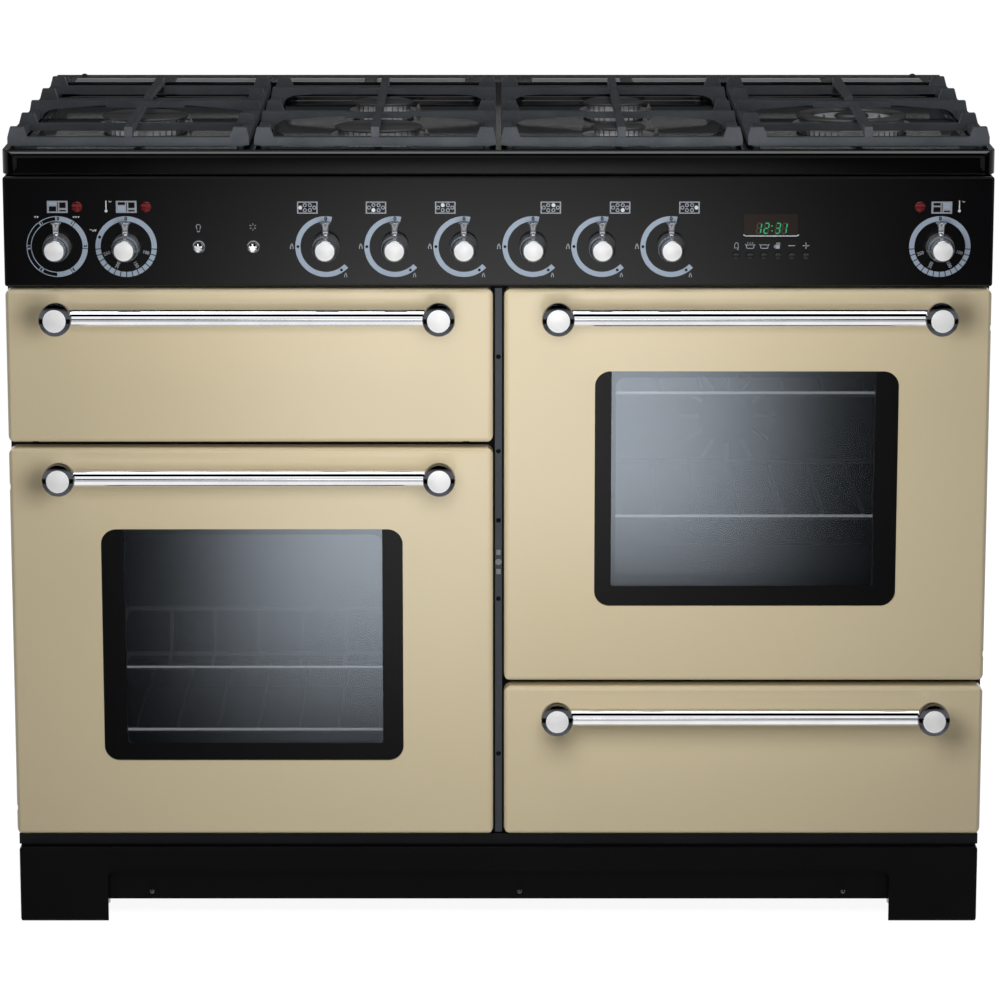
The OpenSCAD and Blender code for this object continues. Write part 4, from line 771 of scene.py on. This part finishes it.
# The hob's front face and ends take the dimmed copy of its enamel: painted shade
eased("hotplate", 2.4, segments=3, accent=HOB_FACE_PAINTED_DARK,
      accented=lambda middle, normal: ((normal.y < -0.8 and middle.y < HOB_FRONT)
                                       or abs(normal.x) > 0.4))
for node in ("left_door_panel", "right_door_panel", "grill_door_panel", "drawer_front"):
    eased(node, 2.2, segments=3)
eased("fascia", 0.7)
# The front wires of the racks and of the door rack take the painted glint on their upper faces
rack_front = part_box("oven_racks")[0].y / MM
eased("oven_racks", 0, accent=PAINTED_GLINT,
      accented=lambda middle, normal: middle.y < rack_front + SHELF_WIRES and normal.z > UPWARD)
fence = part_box("left_door_rack")[0] / MM
eased("left_door_rack", 0, accent=PAINTED_GLINT,
      accented=lambda middle, normal: (middle.y < fence.y + FENCE_WIRES
                                       and middle.z < fence.z + FENCE_LOW and normal.z > UPWARD))
# The strip between the doors takes the lighter copy of the frame's paint: painted light
eased("front_frame", 0, accent=MULLION_PAINTED_LIGHT,
      accented=lambda middle, normal: abs(middle.x) < MULLION_HALF)
for name in NODE_SLOT:
    if name.endswith("_knob") or "_knob_" in name:
        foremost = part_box(name)[0].y / MM
        eased(name, 0, KNOBS, accent=CAP_FACE,
              accented=lambda middle, normal: (normal.y < -0.98
                                               and middle.y < foremost + CAP_DEPTH))


# Handles

BAR_RADIUS = 9.5
END_RADIUS = 18
# An end's (radius, distance from the front) with its narrow neck, and the material index of
# each step: chrome for the neck, a darker copy of the chrome for the rim (painted shade), pale for
# the end face
HANDLE_END = [(8, 0), (8, 20), (11, 24), (15.4, 29), (17.6, 35), (END_RADIUS, 38),
              (END_RADIUS, 50), (17.2, 52.8), (12.6, 55.98), (0, 55.98)]
END_FINISHES = (0, 0, 0, 0, 1, 1, 1, 1, 2)


def bar_handle(node):
    """A tube between two turned ends."""
    low, high = (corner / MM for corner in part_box(node))
    x, z = (low.x + high.x) / 2, (low.z + high.z) / 2
    half = (high.x - low.x) / 2 - END_RADIUS
    bm = bmesh.new()
    for side in (-1, 1):
        add_turned(bm, HANDLE_END, (x + side * half, FRONT, z), "-Y", 48, END_FINISHES)
    add_turned(bm, [(BAR_RADIUS, -half), (BAR_RADIUS, half)], (x, BAR_Y, z), "X", 48)
    bmesh.ops.recalc_face_normals(bm, faces=bm.faces)
    piece = new_object(node + "_turned", bm, SLOTS["chrome"], body_of(node), TURNED_SMOOTH)
    # the end rims' darker copy of the chrome: painted shade
    piece.data.materials.append(CHROME_PAINTED_DARK)
    piece.data.materials.append(CAP_FACE)
    stand_in(node)


for name in NODE_SLOT:
    if name.endswith("_handle"):
        bar_handle(name)


# Prints

# The doors' window openings: left and right side, foot and top
WINDOWS = {"left": (-442.8, -110.5, 190.9, 454.6), "right": (106.0, 442.8, 372.6, 636.4)}
BORDER_WIDE, BORDER = 23.5, 19.5        # the border beside the hinge, and elsewhere
LAP = 6                                 # how far it reaches behind the panel


def window_borders():
    """The black border printed on each outer pane: both sides and the foot."""
    for side, (x0, x1, z0, z1) in WINDOWS.items():
        left, right = (BORDER_WIDE, BORDER) if side == "left" else (BORDER, BORDER_WIDE)
        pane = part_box(side + "_door_glass")[0].y / MM
        flat_marks(side + "_window_border",
                   [bar(x0 - LAP, z0 - LAP, x0 + left, z1 + LAP),
                    bar(x1 - right, z0 - LAP, x1 + LAP, z1 + LAP),
                    bar(x0 + left, z0 - LAP, x1 - right, z0 + BORDER)],
                   BORDER_MARK, PROUD, pane, side + "_oven_door")


window_borders()
hob_dials()
grill_dial(GRILL_X)
oven_dial("left", LEFT_OVEN_X)
oven_dial("right", RIGHT_OVEN_X)
fascia_signs()
clock_signs()
clock_time()


# Small trim

def button_collars():
    """The bright rings round the two push buttons."""
    collar = [(5.7, 0), (7.3, 0), (7.3, 1.0), (6.7, 2.2), (6.0, 2.4), (5.7, 2.0), (5.7, 0)]
    for name, x in (("light", LIGHT_X), ("ignition", IGNITION_X)):
        turned(name + "_collar", collar, KNOBS, (x, FRONT, KNOB_Z))


def dome_screws():
    """The screws in the splashback holes at the ends of the vent strip."""
    dome = [(0, -1.0), (3.9, -1.0), (3.9, 0.4), (3.4, 1.6), (2.2, 2.5), (0.8, 2.9), (0, 2.95)]
    for name, x in (("left", -507), ("right", 507)):
        turned(name + "_splash_screw", dome, SLOTS["black_gloss"], (x, 316, 897), "Z", 24)


VENT_X = [side * (94 + step * 122) for side in (-1, 1) for step in range(4)]
# Where the pale strips that paint the slots' edge highlights lie, and their size
VENT_HIGHLIGHT_Y = [259.4 + row * 14 for row in range(3)]
VENT_HIGHLIGHT_Z = 896.75
VENT_HIGHLIGHT_SIZE = (106.6, 4.0, 0.8)


def vent_painted_highlights():
    """Thin pale strips, a little raised, at the rear of the vent's slots: painted highlights on
    the slots' edges.
    """
    bm = bmesh.new()
    for x in VENT_X:
        for y in VENT_HIGHLIGHT_Y:
            verts = bmesh.ops.create_cube(bm, size=MM)["verts"]
            bmesh.ops.scale(bm, vec=VENT_HIGHLIGHT_SIZE, verts=verts)
            bmesh.ops.translate(bm, vec=Vector((x, y, VENT_HIGHLIGHT_Z)) * MM, verts=verts)
    new_object("vent_painted_highlights", bm, SLOT_EDGE_HIGHLIGHT)


def small_screws():
    """The fixings seen on the strip between the doors and on the plinth."""
    head = [(2.6, 0), (2.6, 0.6), (1.6, 1.5), (0, 1.7)]
    for i, z in enumerate((650, 543, 464, 374, 194)):
        turned("strip_screw_%d" % (i + 1), head, SLOTS["black_gloss"], (0, STRIP_FACE, z),
               segments=20)
    # The plinth's screws take the darker copy of the chrome: painted shade
    for i, x in enumerate((-393, 24, 391)):
        turned("plinth_screw_%d" % (i + 1), head, CHROME_PAINTED_DARK, (x, PLINTH_SEAT, 37), segments=20)


button_collars()
dome_screws()
small_screws()
vent_painted_highlights()


# Stage, lamps and camera; places in metres, powers in watts

AMBIENT = 0.19              # the world's plain light on the object
FLOOR_GLOW = 0.92           # lifts the floor to white where it is seen
CARD_HALF, CARD_Y = 4, 1.7
CARD_LOW, CARD_HIGH = 0.93, 2.8
STREAKS = ((1.068, 0.8), (1.091, 1.4), (1.118, 1.8))     # the card's: foot and brightness
STREAK = 0.001              # the height of each, and of its fading above and below


def stage_floor():
    """A pale floor that looks white, and that mirrors don't show."""
    net = Net("pale_floor")
    lit = net.node("ShaderNodeBsdfDiffuse", {}, {"Color": (0.5, 0.5, 0.5, 1)})
    seen = net.rays("Is Camera Ray", "Is Glossy Ray", "Is Transmission Ray")
    finish = net.finish(net.node("ShaderNodeAddShader", {},
                                 {0: lit, 1: net.glow(seen * FLOOR_GLOW)}))
    bpy.ops.mesh.primitive_circle_add(vertices=96, radius=14.0, fill_type="NGON",
                                      location=(0, 3.0, 0))
    floor = bpy.context.object
    floor.name = "studio_floor"
    floor.visible_glossy = False
    floor.data.materials.append(finish)


def back_card():
    """A card behind the cooker, seen only in the hob's reflections: dark, with bright streaks."""
    net = Net("back_card")
    _, _, z = net.split(net.node("ShaderNodeNewGeometry"))
    level = 0.02 + 0.05 * z.between(1.062, 1.116)
    for low, glow in STREAKS:
        level = level + (glow * z.between(low - STREAK, low)
                         * (1 - z.between(low + STREAK, low + 2 * STREAK)))
    mesh = bpy.data.meshes.new("back_card")
    corners = [(x, CARD_Y, z) for x, z in bar(-CARD_HALF, CARD_LOW, CARD_HALF, CARD_HIGH)]
    mesh.from_pydata(corners, [], [(0, 1, 2, 3)])
    mesh.materials.append(net.finish(net.glow(level)))
    card = bpy.data.objects.new("back_card", mesh)
    bpy.context.collection.objects.link(card)
    card.visible_camera = False
    card.visible_diffuse = False
    card.visible_transmission = False
    card.visible_shadow = False
    card.visible_volume_scatter = False


def world_light():
    """Plain light all round. Mirrors see a white studio, dark low in front with a lit middle.

    x, y and z are the direction that a ray leaves in. The upright fronts throw the camera's rays
    forward, with z from about -0.32 at the plinth's foot to about -0.13 at the fascia's top.
    """
    world = bpy.data.worlds.new("studio")
    bpy.context.scene.world = world
    net = Net("studio", world)
    x, y, z = net.split(net.node("ShaderNodeTexCoord"))
    front = 1 - y.between(-0.3, 0.0)

    # The dark band that the fronts mirror, and its lit middle, which reaches lower for the left
    # door and fades from the centre on for the fascia
    band = front * z.between(-0.36, -0.318) * (1 - z.between(-0.06, -0.02))
    right = x.between(-0.004, 0.004)
    foot = z.between(-0.27, -0.2115) * (1 - right) + z.between(-0.237, -0.2) * right
    high = z.between(-0.172, -0.158)
    width = ((1 - x.size().between(0.029, 0.078)) * (1 - high)
             + (1 - x.size().between(0.0, 0.095)) * high)
    middle = width * foot * (1 - z.between(-0.142, -0.134))

    # Duller parts of the room, which the handles, knobs and hob mirror
    ceiling = front * z.between(0.42, 0.5) * (1 - z.between(0.8, 0.86))
    near = z.between(-0.40, -0.34) + (1 - z.between(-0.74, -0.6))
    mirrored = (1 - band * (0.99 - 3.6 * middle) - 0.45 * (1 - near.clamp())
                - 0.75 * z.between(0.5, 0.8) - 0.6 * ceiling)
    level = (AMBIENT + (1 - AMBIENT) * net.rays("Is Camera Ray", "Is Transmission Ray")
             + net.rays("Is Glossy Ray") * (mirrored - AMBIENT))
    back = net.node("ShaderNodeBackground", {}, {"Color": WHITE, "Strength": level})
    net.node("ShaderNodeOutputWorld", {}, {"Surface": back})


def softbox(name, place, aim, size, power, mirrored=True):
    """A rectangular lamp; mirrored tells whether reflections show it."""
    data = bpy.data.lights.new(name, "AREA")
    data.shape = "RECTANGLE"
    data.size, data.size_y = size
    data.energy = power
    lamp = bpy.data.objects.new(name, data)
    bpy.context.collection.objects.link(lamp)
    lamp.location = place
    lamp.rotation_euler = (Vector(aim) - Vector(place)).to_track_quat("-Z", "Y").to_euler()
    lamp.visible_camera = False
    lamp.visible_glossy = mirrored


def add_camera(place, down, lens, shift):
    """A camera that looks along Y and down by this many degrees."""
    data = bpy.data.cameras.new("camera")
    data.sensor_width = 36.0
    data.lens = lens
    data.shift_x = shift
    camera = bpy.data.objects.new("camera", data)
    bpy.context.collection.objects.link(camera)
    camera.location = place
    camera.rotation_euler = (math.radians(90 - down), 0, 0)
    bpy.context.scene.camera = camera


stage_floor()
world_light()
back_card()
softbox("top_box", place=(0.1, -0.3, 3.0), aim=(0, 0, 0.5), size=(2.6, 1.6), power=36)
softbox("key_box", place=(0.0, -1.1, 0.75), aim=(0, -0.276, 0.55), size=(0.5, 0.5), power=5.7,
        mirrored=False)
add_camera(place=(0.0, -5.151, 1.520), down=11.92, lens=160.95, shift=0.0015)
bpy.context.scene.view_settings.view_transform = "Standard"
